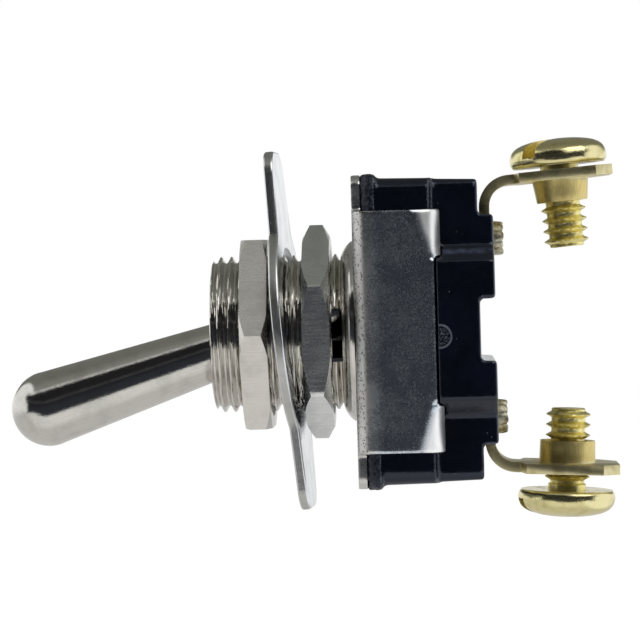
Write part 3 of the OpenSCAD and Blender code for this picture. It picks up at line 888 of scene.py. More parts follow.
@dataclass
class SubAssembly:
    """A group of pieces that are built and dressed together."""

    nodes: dict[str, Obj]

    def build(self) -> None:
        """Build the pieces."""
        raise NotImplementedError

    def dress(self, node: str, finish: bpy.types.Material, edge_mm: float, segments: int = 2) -> None:
        """Give a CAD node its finish and soften its edges.

        Args:
            node: The node's name.
            finish: Its material.
            edge_mm: The radius of its softened edges, in millimetres.
            segments: How many pieces each softened edge has.
        """
        obj = self.nodes[node]
        for held in obj.material_slots:
            held.material = finish
        if not obj.material_slots:
            obj.data.materials.append(finish)
        self.weld(obj)
        soften(obj, edge_mm, segments)
        obj.data.shade_smooth()
        LOG.info("dressed %s", node)

    def weld(self, obj: Obj) -> None:
        """Join the points that the CAD shape's faces have in the same place."""
        weld = obj.modifiers.new("weld", "WELD")
        weld.merge_threshold = WELD_DISTANCE

    def even_copy(self, node: str, voxel_mm: float, passes: int) -> Mesh:
        """Copy a CAD node's shape in small even faces, its edges worn round.

        Args:
            node: The node's name.
            voxel_mm: The size of the faces, in millimetres.
            passes: How often the copy is smoothed.

        Returns:
            The new mesh.
        """
        blank = add_object(node + "_blank", self.nodes[node].data.copy())
        self.weld(blank)
        even = blank.modifiers.new("even", "REMESH")
        even.mode = "VOXEL"
        even.voxel_size = voxel_mm * MM
        worn = blank.modifiers.new("worn", "SMOOTH")
        worn.factor = 0.5
        worn.iterations = passes
        mesh = settled(blank)
        bpy.data.objects.remove(blank)
        return mesh

    def piece(
        self,
        name: str,
        mesh: Mesh,
        finish: bpy.types.Material,
        slot: Slot,
        node: str,
        place: Matrix | None = None,
        body: str = "switch_body",
    ) -> Obj:
        """Add a piece that stands for a CAD node and rides on its body.

        Args:
            name: The piece's name.
            mesh: Its mesh, in metres.
            finish: Its material.
            slot: Not used.
            node: The CAD node it stands for.
            place: Where it goes.
            body: The CAD body it rides on.

        Returns:
            The piece.
        """
        obj = add_object(name, mesh, place)
        clad(mesh, finish)
        shade(mesh)
        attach(obj, body)
        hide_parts(node)
        LOG.info("built %s with %d faces", name, len(mesh.polygons))
        return obj


@dataclass
class LeverParts(SubAssembly):
    """The bat lever with its pin, plunger and spring. Sizes are in millimetres from the pivot."""

    pivot: Vector
    tilt: float
    reach: float = 20.795
    tip_r: float = 2.885
    waist_r: float = 1.9
    ball_r: float = 3.6
    tail: float = 9.0
    tail_r: float = 1.75
    bore_r: float = 1.08
    bore_end: float = 1.5
    bore_edge: float = 0.08
    neck_fillet: float = 0.17
    tail_fillet: float = 0.25
    edge: float = 0.12
    coil_end: float = 6.0
    columns: int = 128

    def outline(self) -> list[Point2]:
        """The lever's outline from the closed end of its bore round to its tip.

        Returns:
            Places along the lever, towards its tip, and radii.
        """
        tip_at = self.reach - self.tip_r
        neck_angle = math.degrees(math.asin((self.waist_r + self.neck_fillet) / self.ball_r))
        tail_angle = 180 - math.degrees(math.asin((self.tail_r + self.tail_fillet) / self.ball_r))
        points: list[Point2] = [(-self.bore_end, 0.0), (-self.bore_end, self.bore_r)]
        points += [(-self.tail + 0.05, self.bore_r), (-self.tail, self.bore_r + self.bore_edge)]
        points += [(-self.tail, self.tail_r - self.edge), (-self.tail + self.edge, self.tail_r)]
        points += arc((0, 0), self.ball_r, tail_angle, neck_angle, 30)
        bat_from, bat_to, steps = points[-1][0], tip_at - 0.35, 44
        for k in range(1, steps + 1):
            x = bat_from + (bat_to - bat_from) * k / steps
            points.append((x, self.waist_r + (self.tip_r - 0.01 - self.waist_r) * x / tip_at))
        return points + arc((tip_at, 0), self.tip_r, 90, 0, 26)

    def coil(self, direction: Vector) -> None:
        """Make the coil spring as a copy of the CAD spring.

        Args:
            direction: Where the lever points.
        """
        coil = add_object("coil_spring", self.nodes["lever_spring"].data.copy())
        clad(coil.data, PlainMetal("steel_spring", (0.45, 0.45, 0.46)).material())
        coil.data.shade_smooth()
        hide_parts("lever_spring")
        start, end = (tuple(self.pivot - direction * away * MM) for away in (self.bore_end, self.coil_end))
        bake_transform(coil)
        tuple(start)
        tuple(end)

    def build(self) -> None:
        """Build the lever and the spring, and dress the pin and the plunger."""
        steel = Nickel(
            "nickel_lever", grain=Grain.ALONG_X, roughness=0.07, haze=0.05, depth_mm=0.0008,
            tilt=self.tilt, line_tone=0.14, grit_mm=0.008,
        )
        direction = Vector((-math.cos(self.tilt), 0, -math.sin(self.tilt)))
        mesh = Solid().turned(self.outline(), self.columns).mesh("bat_lever")
        self.piece(
            "bat_lever", mesh, steel.material(), Slot.NICKEL, "lever", along(self.pivot, direction), "lever"
        )
        self.dress("pivot_pin", PlainMetal("steel_pin", (0.5, 0.5, 0.5)).material(), 0.05)
        self.coil(direction)
        self.dress("plunger", Brass("brass_plunger", (0.72, 0.58, 0.28), (0.5, 0.38, 0.18)).material(), 0.05)


@dataclass
class BushingParts(SubAssembly):
    """The threaded bushing. Sizes are in millimetres, places along it count from the frame's face."""

    thread_d: float = 11.9
    root_d: float = 10.95
    pitch: float = 0.79375
    shoulder_r: float = 7.0
    shoulder_h: float = 1.05
    thread_from: float = 1.08
    pivot_at: float = 6.7
    seat_r: float = 3.63
    neck_r: float = 3.05
    mouth_r: float = 3.72
    ball_bore: float = 3.3
    tail_bore_r: float = 4.75
    spigot_r: float = 5.6
    sheet: float = 0.7
    pin_slot_r: float = 0.8
    pin_slot_half: float = 4.9
    window_from: Point2 = (1.02, -2.16)
    window_to: Point2 = (1.74, 1.82)
    edge: float = 0.12
    mouth_edge: float = 0.1
    shoulder: tuple[Point2, ...] = ((0.0, 0.96), (0.35, 0.84), (0.7, 0.5), (0.95, 0.12))
    columns: int = 160

    def openings(self, back: float) -> list[Obj]:
        """Make the shapes of the pin's slot, open at the back, and of the small window in the undercut.

        Args:
            back: How far behind the frame's face the bushing ends.

        Returns:
            The cutting shapes.
        """
        slot = [(-back - 1, -self.pin_slot_r), (-back - 1, self.pin_slot_r), (self.pivot_at, self.pin_slot_r)]
        slot += arc((self.pivot_at, 0), self.pin_slot_r, 80, -80, 16)
        slot += [(self.pivot_at, -self.pin_slot_r)]
        (near, low), (far, high) = self.window_from, self.window_to
        window = [(near, low), (far, low), (far, high), (near, high)]
        return [
            slab("pin_slot_cutter", [(-x, z) for x, z in slot], -self.pin_slot_half, self.pin_slot_half),
            slab("window_cutter", [(-x, z) for x, z in window], -self.thread_d, -self.tail_bore_r + 0.4),
        ]

    def inside(self, back: float, mouth: float) -> list[Point2]:
        """The outline of the bore, with the seat of the lever's ball.

        Args:
            back: How far behind the frame's face the bushing ends.
            mouth: How far in front of it the bushing ends.

        Returns:
            Places along the bushing and radii, from its back to its mouth.
        """
        neck_at = self.pivot_at + math.sqrt(self.seat_r**2 - self.neck_r**2)
        half_neck = math.degrees(math.asin(self.neck_r / self.seat_r))
        bore_at = self.pivot_at - self.ball_bore
        bore: list[Point2] = [(-back, self.tail_bore_r), (bore_at, self.tail_bore_r)]
        bore += [(bore_at + 0.15, self.seat_r + 0.12), (bore_at + 0.3, self.seat_r)]
        bore += [(self.pivot_at, self.seat_r)]
        bore += arc((self.pivot_at, 0), self.seat_r, 88, half_neck, 12)
        bore += [(neck_at + 0.06, self.neck_r - 0.01), (mouth - self.edge, self.mouth_r - 0.03)]
        return [*bore, (mouth, self.mouth_r + self.mouth_edge)]

    def outside(self, back: float) -> list[Point2]:
        """The outline from the staked back over the rounded shoulder to the thread.

        Args:
            back: How far behind the frame's face the bushing ends.

        Returns:
            Places along the bushing and radii.
        """
        crest = self.thread_d / 2
        rise = self.shoulder_r - crest
        outer: list[Point2] = [(-back, self.tail_bore_r)]
        outer += [(-back, crest - self.edge), (-back + self.edge, crest)]
        outer += [(-self.sheet - 0.1, crest), (-self.sheet, crest - 0.1), (-self.sheet, self.spigot_r)]
        dome = [(x, crest + share * rise) for x, share in self.shoulder]
        dome += [(self.shoulder_h, crest - 0.15), (self.thread_from, self.root_d / 2)]
        return outer + [(0, self.spigot_r)] + smoothed(dome, 5)

    def build(self) -> None:
        """Build the bushing, with its helical thread, seat and pin slot."""
        low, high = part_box("bushing")
        mouth, back = -low.x / MM, high.x / MM
        crest, root = self.thread_d / 2, self.root_d / 2
        thread = Thread(crest, root, self.pitch, self.thread_from, mouth - 0.02, run_out=3.0)
        skin = Solid()
        skin.turned(self.inside(back, mouth), self.columns)
        skin.turned(self.outside(back), self.columns)
        skin.ring(thread.rows(), self.columns, thread.steps)
        end = [(mouth - 0.02, root), (mouth, root - 0.05), (mouth, self.mouth_r + self.mouth_edge)]
        skin.turned(end, self.columns)
        steel = Nickel(
            "nickel_bushing", grain=Grain.AROUND_X, roughness=0.09, line_mm=0.07, depth_mm=0.0026
        ).material()
        mesh = skin.mesh("threaded_bushing")
        obj = self.piece("threaded_bushing", mesh, steel, Slot.NICKEL, "bushing", forward(Vector()))
        cut(obj, self.openings(back))
        clad(obj.data, steel)
        shade(obj.data)


@dataclass
class HexNut(SubAssembly):
    """One chamfered hexagon nut. Sizes are in millimetres, angles in degrees."""

    node: str
    bearing_r: float
    turned_on: float
    finish: Nickel
    across: float = 14.3
    bore_r: float = 5.98
    sink: float = 0.4
    sink_depth: float = 0.45
    chamfer: float = 30.0
    edge: float = 0.1
    columns: int = 240

    def build(self) -> None:
        """Build the hexagon, cut back by a cone at both faces, with a countersunk bore."""
        low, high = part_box(self.node)
        thick = (high.x - low.x) / MM
        slope = math.tan(math.radians(self.chamfer))
        third = math.radians(60)
        corner = max((v.co for v in self.nodes[self.node].data.vertices), key=lambda co: co.yz.length)
        turn = math.pi - math.atan2(corner.z, corner.y) + math.radians(self.turned_on)

        def hexagon(angle: float) -> float:
            """The hexagon's radius at an angle."""
            return self.across / 2 / math.cos((angle - turn) % third - third / 2)

        def cone(end: float, side: int, angle: float) -> Point2:
            """A point where the cone at one end meets the hexagon's side."""
            radius = hexagon(angle)
            return end - side * max(0.0, radius - self.bearing_r) * slope, radius

        def face(end: float, angle: float) -> Point2:
            """A point of the edge of one end's flat face."""
            return end, min(self.bearing_r, hexagon(angle) - 0.004)

        bore = circle(self.sink_depth, self.bore_r)
        rows: list[Row] = [bore, circle(0.0, self.bore_r + self.sink), partial(face, 0.0)]
        rows += [partial(cone, 0.0, -1), partial(cone, thick, 1)]
        rows += [partial(face, thick), circle(thick, self.bore_r + self.sink)]
        rows += [circle(thick - self.sink_depth, self.bore_r), bore]
        name = self.node + "_solid"
        obj = self.piece(
            name, Solid().ring(rows, self.columns).mesh(name), self.finish.material(), Slot.NICKEL, self.node,
            forward(Vector((high.x, 0, 0))), self.node,
        )
        soften(obj, self.edge, 3, 20)


@dataclass
class IndicatorPlate(SubAssembly):
    """The loose plate between the nuts: a round middle with two tapered wings. Sizes in millimetres."""

    lean: float = 4.5
    swing: float = 3.7
    thick: float = 0.75
    disc_r: float = 8.556
    half: float = 13.7
    root: float = 4.1
    tip: float = 3.4
    corner: float = 1.9
    hole_r: float = 6.3
    hole_edge: float = 0.06
    edge: float = 0.19

    def outline(self) -> list[Point2]:
        """The plate's edge, from the middle of one side round.

        Returns:
            Places across the plate and along it.
        """
        rim = math.degrees(math.acos(self.root / self.disc_r))
        wing = self.half - self.corner - self.disc_r * math.sin(math.radians(rim))
        slope = math.degrees(math.atan2(self.root - self.tip, wing))
        quarter = arc((0, 0), self.disc_r, 0, rim, 40)[:-1]
        end = arc((self.tip - self.corner, self.half - self.corner), self.corner, slope, 90, 12)
        (x, y), (end_x, end_y), steps = quarter[-1], end[0], 16
        side = [(x + (end_x - x) * k / steps, y + (end_y - y) * k / steps) for k in range(1, steps)]
        quarter += side + end
        upper = quarter + [(-x, y) for x, y in reversed(quarter)]
        return upper + [(x, -y) for x, y in reversed(upper)][1:-1]

    def skin(self) -> Solid:
        """The plate round its hole, with rounded outer edges.

        Returns:
            The solid, with its thickness along X.
        """
        points = [Vector(p) for p in self.outline()]
        count = len(points)
        inward: list[Vector] = []
        for i, point in enumerate(points):
            run = (points[(i + 1) % count] - points[i - 1]).normalized()
            side = Vector((-run.y, run.x))
            inward.append(side if side.dot(point) < 0 else -side)
        half, wide = self.thick / 2, self.hole_r + self.hole_edge
        angles = [math.radians(18 * k) for k in range(6)]
        rim = [(-half + self.edge * (1 - math.cos(a)), self.edge * (1 - math.sin(a))) for a in angles]
        rim += [(-level, shrink) for level, shrink in reversed(rim)]
        bore = [(half, wide), (half - self.hole_edge, self.hole_r), (-half + self.hole_edge, self.hole_r)]
        loops = [(-half, [point.normalized() * wide for point in points])]
        loops += [(level, [p + way * shrink for p, way in zip(points, inward)]) for level, shrink in rim]
        loops += [(level, [point.normalized() * radius for point in points]) for level, radius in bore]
        skin = Solid([(level, spot.x, spot.y) for level, spots in loops for spot in spots])
        for r, after in enumerate([*range(1, len(loops)), 0]):
            for c in range(count):
                n = (c + 1) % count
                skin.faces.append((r * count + c, r * count + n, after * count + n, after * count + c))
        return skin

    def sort_faces(self, mesh: Mesh, inverse: Matrix) -> None:
        """Give the sheared edge its own finish, and the rim a darker copy of the nickel as painted shade.

        Args:
            mesh: The plate's mesh, in the row frame.
            inverse: What brings it back to the plate's own axes.
        """
        flat_face = self.thick / 2 - 0.6 * self.edge
        for polygon in mesh.polygons:
            spot = (inverse @ polygon.center) / MM
            beyond = spot.yz.length - self.disc_r
            on_wing = beyond > 0.04 and abs(spot.z) < self.half - 0.8 * self.corner
            if abs(spot.x) < flat_face and beyond > -0.1:
                polygon.material_index = 1 if on_wing else 2

    def build(self) -> None:
        """Build the plate with rounded edges, leaning between the nuts."""
        low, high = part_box("indicator_plate")
        lean, swing = math.radians(-self.lean), math.radians(-self.swing)
        turn = Matrix.Rotation(lean, 4, "Y") @ Matrix.Rotation(swing, 4, "Z")
        place = Matrix.Translation((low + high) / 2) @ turn
        flat = Nickel("nickel_indicator_plate", (0.74, 0.75, 0.77), 0.13, Grain.ROLLED, 0.3).material()
        sheared = Brass("nickel_sheared_edge", (0.3, 0.3, 0.3), (0.75, 0.75, 0.74), 0.3, 0.35, 0.56, 0.014)
        # Painted shade: the disc's rim takes a darker, duller copy of the nickel, with grit.
        rim = Nickel("nickel_shaded_rim", (0.58, 0.58, 0.55), 0.3, haze=0.15, grit_mm=0.01)
        mesh = self.skin().mesh("indicator_plate_solid")
        obj = self.piece("indicator_plate_solid", mesh, flat, Slot.NICKEL, "indicator_plate", place)
        clad(mesh, flat, sheared.material(), rim.material())
        self.sort_faces(mesh, place.inverted())
        flats = obj.modifiers.new("even_normals", "WEIGHTED_NORMAL")
        flats.weight = 90
        flats.keep_sharp = True


@dataclass
class Housing(SubAssembly):
    """The mounting frame, the moulded case and the pieces inside it. Sizes in millimetres."""

    rim_end: float = 1.75
    flange_half: float = 9.15
    ear_side: float = 5.7
    ear_end: float = 11.0
    parting: float = 5.85
    ridge: float = 0.05
    ridge_w: float = 0.16
    crumble: float = 0.07
    frame_faces: float = 0.13
    frame_wear: int = 3
    case_faces: float = 0.16
    case_wear: int = 5

    def push(self, spot: Vector) -> float:
        """How far a point of the moulding stands out at its parting line and its uneven front rim.

        Args:
            spot: The point.

        Returns:
            The distance, and 0 under the frame.
        """
        beside_frame = abs(spot.y) > self.ear_side or abs(spot.z) > self.ear_end
        if abs(spot.z) <= self.flange_half or not beside_frame:
            return 0.0
        push = 0.0
        if spot.x < self.rim_end:
            push += self.crumble * (noise.noise(spot * 3.0) + 0.6 * noise.noise(spot * 7.0) - 0.1)
        line = self.parting + 0.12 * noise.noise(Vector((0.0, spot.y * 0.7, spot.z * 0.9)))
        lift = 0.7 + 0.6 * noise.noise(spot * 2.5)
        return push + self.ridge * lift * math.exp(-(((spot.x - line) / self.ridge_w) ** 2))

    def flash(self, mesh: Mesh) -> None:
        """Raise the moulding's parting line, and make its front rim uneven.

        Args:
            mesh: The moulding's mesh.
        """
        moves = [vertex.normal * self.push(vertex.co / MM) * MM for vertex in mesh.vertices]
        for vertex, move in zip(mesh.vertices, moves):
            vertex.co += move

    def build(self) -> None:
        """Dress the frame, the case and the inner pieces."""
        sheet = self.even_copy("mounting_frame", self.frame_faces, self.frame_wear)
        plated = FramePlate("plated_frame").material()
        self.piece("crimped_frame", sheet, plated, Slot.FRAME, "mounting_frame")
        moulding = self.even_copy("case", self.case_faces, self.case_wear)
        self.flash(moulding)
        phenolic = Phenolic("phenolic_case").material()
        self.piece("moulded_case", moulding, phenolic, Slot.PHENOLIC, "case")
        for mesh in (sheet, moulding):
            mesh.shade_smooth()
        self.dress("insulating_liner", Fibre("fibre_liner").material(), 0.04)
        contact = Brass("brass_contact", (0.70, 0.55, 0.28), (0.5, 0.34, 0.2)).material()
        silver = PlainMetal("silver_button", (0.8, 0.8, 0.8), 0.18).material()
        for node in ("rocker_contact", "fulcrum_strap", "fixed_contact"):
            self.dress(node, contact, 0.04)
        for node in ("rocker_button", "fixed_button"):
            self.dress(node, silver, 0.05)


@dataclass
class Terminals(SubAssembly):
    """The two brass terminals, with the reach of their collars in millimetres."""

    upper_collar_z: float = 11.05
    lower_collar_z: float = 10.35
    edge: float = 0.09

    def build(self) -> None:
        """Dress the terminals."""
        for side, collar_z in (("upper", self.upper_collar_z), ("lower", self.lower_collar_z)):
            finish = TerminalStrip("brass_terminal_" + side, collar_z)
            self.dress("terminal_" + side, finish.material(), self.edge, 3)


@dataclass
class Rivet(SubAssembly):
    """One terminal rivet, its outer end split and crushed. Sizes in millimetres."""

    node: str
    side: float
    offset: float = 6.8
    shank_r: float = 1.0
    head_r: float = 1.375
    head_edge: float = 0.15
    inner_h: float = 0.6
    outer_h: float = 1.1
    teeth: int = 9
    columns: int = 96
    outer_rows: tuple[Point2, ...] = (
        (0.0, 1.0), (0.0, 1.35), (0.25, 1.375), (0.55, 1.36), (0.8, 1.33), (0.95, 1.27), (1.0, 1.16),
        (0.93, 0.9), (0.88, 0.5),
    )

    def crushed(self, foot: float, level: float, radius: float, angle: float) -> Point2:
        """One point of the outer head.

        Args:
            foot: Where that head starts along the rivet.
            level: How far up the head the point's row lies, from 0 to 1.
            radius: The row's radius.
            angle: The point's angle round the rivet.

        Returns:
            Its place along the rivet and its radius.
        """
        seed = 7.0 * self.side
        spot = Vector((math.cos(angle) * 1.7, math.sin(angle) * 1.7, seed + level))
        dent = 0.5 + 0.5 * noise.noise(spot * 1.3)
        tooth = abs(math.sin(self.teeth * angle / 2 + seed)) ** 0.5
        height = self.outer_h * level * (1 - 0.32 * dent * (1 - tooth) - 0.12 * dent)
        wave = 1 - 0.1 * dent - 0.07 * (1 - tooth) * level
        return foot + height, min(radius, self.head_r) * wave

    def build(self) -> None:
        """Build the inner head, the shank and the crushed outer head."""
        low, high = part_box(self.node)
        foot = (high.x - low.x) / MM - self.outer_h
        head = [(0.0, 0.0), *arc((self.head_edge, self.head_r - self.head_edge), self.head_edge, 180, 90, 4)]
        head += [(self.inner_h, self.head_r), (self.inner_h, self.shank_r), (foot - 0.01, self.shank_r)]
        rows = [circle(*point) for point in head]
        rows += [partial(self.crushed, foot, level, radius) for level, radius in self.outer_rows]
        rows.append(circle(foot + 0.8 * self.outer_h, 0.0))
        name = self.node + "_solid"
        brass = Brass("brass_" + self.node, (0.60, 0.58, 0.44), (0.27, 0.22, 0.14), 0.36, 0.45, 0.46, 0.012)
        place = Matrix.Translation(Vector((low.x, 0, self.side * self.offset * MM)))
        mesh = Solid().ring(rows, self.columns).mesh(name)
        self.piece(name, mesh, brass.material(), Slot.RIVET, self.node, place)


@dataclass
class TerminalScrew(SubAssembly):
    """One slotted binding-head screw with a rolled thread. Sizes are in millimetres."""

    node: str
    body: str
    direction: Vector
    slot_turn: float
    head_d: float = 7.4
    head_h: float = 2.1
    head_foot: float = 0.012
    head_rows: tuple[Point2, ...] = (
        (0.06, 0.2), (0.25, 0.05), (0.55, 0.0), (0.85, 0.03), (1.15, 0.14), (1.4, 0.33), (1.6, 0.6),
        (1.77, 0.98), (1.895, 1.45), (1.993, 2.0), (2.053, 2.6), (2.085, 3.2),
    )
    crown: float = 2.095
    shank: float = 6.2
    crest_d: float = 3.4
    root_d: float = 2.6
    pitch: float = 0.79375
    neck_r: float = 1.45
    neck_h: float = 0.5
    point: float = 0.08
    slot_w: float = 1.2
    slot_depth: float = 1.4
    columns: int = 120

    def top(self) -> Vector:
        """The top of the head, on the screw's axis.

        Returns:
            The point in the row frame.
        """
        corners = [v.co.copy() for v in self.nodes[self.node].data.vertices]
        reach = [c.dot(self.direction) for c in corners]
        foot_at = min(reach)
        foot = [c for c, r in zip(corners, reach) if r < foot_at + 0.1 * MM]
        centre = sum(foot, Vector()) / len(foot)
        return centre + self.direction * (max(reach) - centre.dot(self.direction))

    def skin(self) -> Solid:
        """The screw without its slot.

        Returns:
            The solid, with X pointing out of the head and the head's foot at 0.
        """
        edge, root = self.head_d / 2, self.root_d / 2
        head = [(self.head_foot, self.neck_r), (self.head_foot, edge - 0.4)]
        head += [(level, edge - inset) for level, inset in self.head_rows]
        foot = -self.shank + self.point
        thread = Thread(self.crest_d / 2, root, self.pitch, foot, -self.neck_h, 0.06, 0.36, 14)
        skin = Solid()
        skin.turned([(-self.shank, 0.0), (-self.shank, root - self.point), (foot, root)], self.columns)
        skin.ring(thread.rows(), self.columns, thread.steps)
        neck = [(-self.neck_h, root), (-self.neck_h + 0.12, self.neck_r), (self.head_foot, self.neck_r)]
        skin.turned(neck, self.columns)
        return skin.turned(smoothed([*head, (self.crown, 0.0)], 4), self.columns)

    def slot(self, place: Matrix) -> Obj:
        """The block that cuts the slot.

        Args:
            place: Where the screw goes.

        Returns:
            The cutting shape.
        """
        mesh = bpy.data.meshes.new("slot_cutter")
        box = bmesh.new()
        bmesh.ops.create_cube(box, size=1.0)
        box.to_mesh(mesh)
        box.free()
        run = place.to_3x3().inverted() @ Vector((math.cos(self.slot_turn), math.sin(self.slot_turn), 0))
        local = (
            Matrix.Rotation(math.atan2(run.z, run.y), 4, "X")
            @ Matrix.Translation(((self.head_h - self.slot_depth + 1.0) * MM, 0, 0))
            @ Matrix.Diagonal((2.0 * MM, 2 * self.head_d * MM, self.slot_w * MM, 1.0))
        )
        return add_object("slot_cutter", mesh, place @ local)

    def build(self) -> None:
        """Build the head with its slot, and the threaded shank."""
        brass = Brass(
            "brass_" + self.node, (0.80, 0.72, 0.38), (0.64, 0.56, 0.25), 0.14, 1.2, 0.48, 0.006
        ).material()
        rolled = Brass(
            "brass_thread_" + self.node, (0.90, 0.80, 0.35), (0.62, 0.52, 0.17), 0.29, 0.5, 0.46, 0.005
        ).material()
        place = along(self.top() - self.direction * self.head_h * MM, self.direction)
        name = self.node + "_solid"
        obj = self.piece(name, self.skin().mesh(name), brass, Slot.SCREW, self.node, place, self.body)
        cut(obj, [self.slot(place)])
        clad(obj.data, brass, rolled)
        foot = place.translation.dot(self.direction)
        for polygon in obj.data.polygons:
            polygon.material_index = int(polygon.center.dot(self.direction) < foot - 0.02 * MM)
        shade(obj.data)
        soften(obj, 0.05, 2, 50, flat=False)


# ---------------------------------------------------------------- studio


@dataclass
class Studio:
    """Floor, light tent, soft lamp and camera. Lengths are in metres and angles in degrees."""

    yaw: float = 2.295
    elevation: float = 1.0
    roll: float = 1.584
    distance: float = 0.230
    lens: float = 168.81
    aim: Vector = field(default_factory=lambda: Vector((-2.795, 0.0, 0.917)) * MM)
    fill: float = 0.85
    tent_r: float = 1.2
    floor_half: float = 3.0
    floor_drop: float = 0.020
    floor_glow: float = 1.06
    floor_glow_share: float = 0.8
    lamp_at: tuple[float, float, float] = (0.32, -0.3, 0.45)
    lamp_size: Point2 = (0.5, 0.35)
    lamp_power: float = 0.9

    def camera(self) -> None:
        """Place the camera."""
        data = bpy.data.cameras.new("camera")
        data.lens = self.lens
        data.sensor_width = 36.0
        data.clip_start = 0.01
        yaw, rise = math.radians(self.yaw), math.radians(self.elevation)
        towards = Vector((math.sin(yaw) * math.cos(rise), -math.cos(yaw) * math.cos(rise), math.sin(rise)))
        turn = (-towards).to_track_quat("-Z", "Y").to_matrix().to_4x4()
        roll = Matrix.Rotation(math.radians(-self.roll), 4, "Z")
        camera = add_object("camera", data)
        camera.matrix_world = Matrix.Translation(self.aim + towards * self.distance) @ turn @ roll
        bpy.context.scene.camera = camera

    def world(self) -> None:
        """Light the object evenly, with white behind it."""
        world = bpy.data.worlds.new("white_room")
        world.use_nodes = True
        nodes = Nodes(world.node_tree)
        rays = nodes.node("ShaderNodeLightPath", {}).outputs
        seen = Value(nodes, rays["Is Camera Ray"])
        for ray in ("Is Glossy Ray", "Is Transmission Ray"):
            seen = seen.larger(Value(nodes, rays[ray]))
        fill, white = (
            nodes.node("ShaderNodeBackground", {"Color": (1, 1, 1, 1), "Strength": strength}).outputs[0]
            for strength in (self.fill, 1.0)
        )
        mixed = nodes.node("ShaderNodeMixShader", {0: seen, 1: fill, 2: white}).outputs[0]
        nodes.node("ShaderNodeOutputWorld", {"Surface": mixed})
        bpy.context.scene.world = world

    def cloth(self, shader: Shader) -> Socket:
        """The tent's colours by direction: dark at the front, grey above, white elsewhere.

        Args:
            shader: The material under construction.

        Returns:
            The colour.
        """
        blend, mix = shader.blend, shader.mix
        unit = shader.node("ShaderNodeVectorMath", {0: shader.place}, operation="NORMALIZE").outputs[0]
        side, depth, height = (shader.axis(name, unit) for name in "XYZ")
        aside = abs(side)

        # The opening at the front, between a top and a foot that close in to the sides.
        over = height - blend(aside, 0.3, 0.8, 0.8, 0.58)
        under = blend(aside, 0.2, 0.75, -0.36, -0.16) - height
        opening = blend(over, 0.012, -0.012) * blend(under, 0.02, -0.03)
        opening = opening * blend(depth, -0.08, -0.2) * blend(aside, 0.93, 0.89)

        # The cloth: a grey roof with open sides, a dimmer part below, and white at the terminals' end.
        back = mix(blend(depth, -0.5, 0.2), (0.28, 0.285, 0.27), (0.19, 0.195, 0.18))
        roof = blend(height, 0.1, 0.2) * blend(side, -0.64, -0.58) * blend(side, 0.75, 0.6)
        below = mix(blend(depth, -0.7, -0.3), (0.82, 0.82, 0.815), (0.63, 0.625, 0.62))
        light = mix(blend(height, 0.05, -0.25), (0.97, 0.98, 0.98), below)
        light = mix(roof, mix(blend(side, 0.5, 0.7), light, (1.02, 1.04, 1.09)), back)

        # The dark in the opening, with a paler stripe, and the bright gap over its top.
        stripe = blend(height, 0.29, 0.32) * blend(height, 0.39, 0.36)
        deep = mix(blend(height, 0.3, 0.0), (0.018, 0.018, 0.02), (0.03, 0.034, 0.042))
        painted = mix(opening, light, mix(stripe, deep, (0.075, 0.078, 0.084)))
        gap = blend(over, 0.0, 0.01) * blend(over, 0.045, 0.035) * blend(depth, -0.25, -0.35)
        return mix(gap, painted, (0.85, 0.86, 0.86))

    def tent(self) -> None:
        """Hang the light tent that the metal reflects."""
        mesh = bpy.data.meshes.new("light_tent")
        ball = bmesh.new()
        bmesh.ops.create_uvsphere(ball, u_segments=48, v_segments=24, radius=self.tent_r)
        ball.to_mesh(mesh)
        ball.free()
        tent = add_object("light_tent", mesh)
        shader = Shader("tent_cloth")
        shader.show(shader.node("ShaderNodeEmission", {"Color": self.cloth(shader), "Strength": 1.0}))
        shader.tree.nodes.remove(shader.surface)
        shader.material.cycles.emission_sampling = "NONE"
        clad(mesh, shader.material)
        tent.visible_camera = False
        tent.visible_diffuse = False
        tent.visible_shadow = False
        tent.visible_transmission = False
        tent.visible_volume_scatter = False
        tent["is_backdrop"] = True

    def floor(self, low: Vector) -> None:
        """Lay the pale floor.

        Args:
            low: The object's lowest corner.
        """
        mesh = bpy.data.meshes.new("floor")
        size = self.floor_half
        corners = [(-size, -size, 0), (size, -size, 0), (size, size, 0), (-size, size, 0)]
        mesh.from_pydata(corners, [], [(0, 1, 2, 3)])
        floor = add_object("floor", mesh, Matrix.Translation((0, 0, low.z - self.floor_drop)))
        shader = Shader("floor_paper")
        shader.set(Base_Color=(0.9, 0.9, 0.9), Roughness=0.8)
        rays = shader.node("ShaderNodeLightPath", {}).outputs
        share = Value(shader, rays["Is Camera Ray"]) * self.floor_glow_share
        glow = shader.node("ShaderNodeEmission", {"Color": (1, 1, 1, 1), "Strength": self.floor_glow})
        surfaces = {0: share, 1: shader.surface.outputs[0], 2: glow.outputs[0]}
        shader.show(shader.node("ShaderNodeMixShader", surfaces))
        clad(mesh, shader.material)
        floor.visible_glossy = False
        floor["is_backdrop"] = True

    def lamp(self) -> None:
        """Hang one large soft lamp over the left front."""
        data = bpy.data.lights.new("soft_lamp", "AREA")
        data.shape = "RECTANGLE"
        data.size, data.size_y = self.lamp_size
        data.energy = self.lamp_power
        spot = Vector(self.lamp_at)
        turn = (-spot).to_track_quat("-Z", "Y").to_matrix().to_4x4()
        add_object("soft_lamp", data).matrix_world = Matrix.Translation(spot) @ turn

    def build(self, low: Vector) -> None:
        """Set up the whole studio.

        Args:
            low: The object's lowest corner.
        """
        self.camera()
        self.world()
        self.tent()
        self.floor(low)
        self.lamp()
        LOG.info("studio ready")


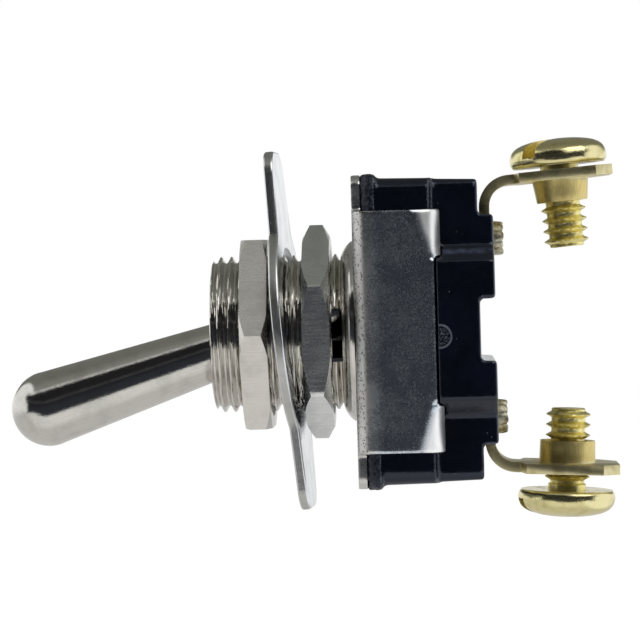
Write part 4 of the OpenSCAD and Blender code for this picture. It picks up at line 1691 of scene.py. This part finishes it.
def main() -> None:
    """Build the studio and every sub-assembly in order."""
    logging.basicConfig(level=logging.INFO, format="%(message)s")
    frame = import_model()
    cad_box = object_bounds()
    bpy.context.scene.view_settings.view_transform = "Standard"
    nodes = frame["nodes"]
    joints = {joint["name"]: joint for joint in frame["joints"]}
    Studio().build(Vector(cad_box[0]))
    inward = Vector(joints["plunger_slide"]["axis"])
    upper, lower = (Vector(joints[f"screw_{side}_travel"]["axis"]) for side in ("upper", "lower"))
    front = Nickel("nickel_front_nut", (0.78, 0.75, 0.70), 0.25, Grain.ALONG_X, 0.1, 0.001, line_tone=0.12)
    back = Nickel("nickel_back_nut", (0.80, 0.81, 0.80), 0.22, Grain.ALONG_X, 0.1, line_tone=0.22)
    parts: list[SubAssembly] = [
        LeverParts(nodes, Vector(joints["lever_swing"]["pos_m"]), math.atan2(-inward.z, -inward.x)),
        BushingParts(nodes),
        HexNut(nodes, "front_nut", 7.52, 0.0, front),
        HexNut(nodes, "back_nut", 7.27, -8.0, back),
        IndicatorPlate(nodes),
        Housing(nodes),
        Terminals(nodes),
        Rivet(nodes, "rivet_upper", 1.0),
        Rivet(nodes, "rivet_lower", -1.0),
        TerminalScrew(nodes, "terminal_screw_upper", "screw_upper", upper, math.radians(50)),
        TerminalScrew(nodes, "terminal_screw_lower", "screw_lower", lower, math.radians(15)),
    ]
    for part in parts:
        part.build()
    bpy.context.view_layer.update()


if __name__ == "__main__":
    main()
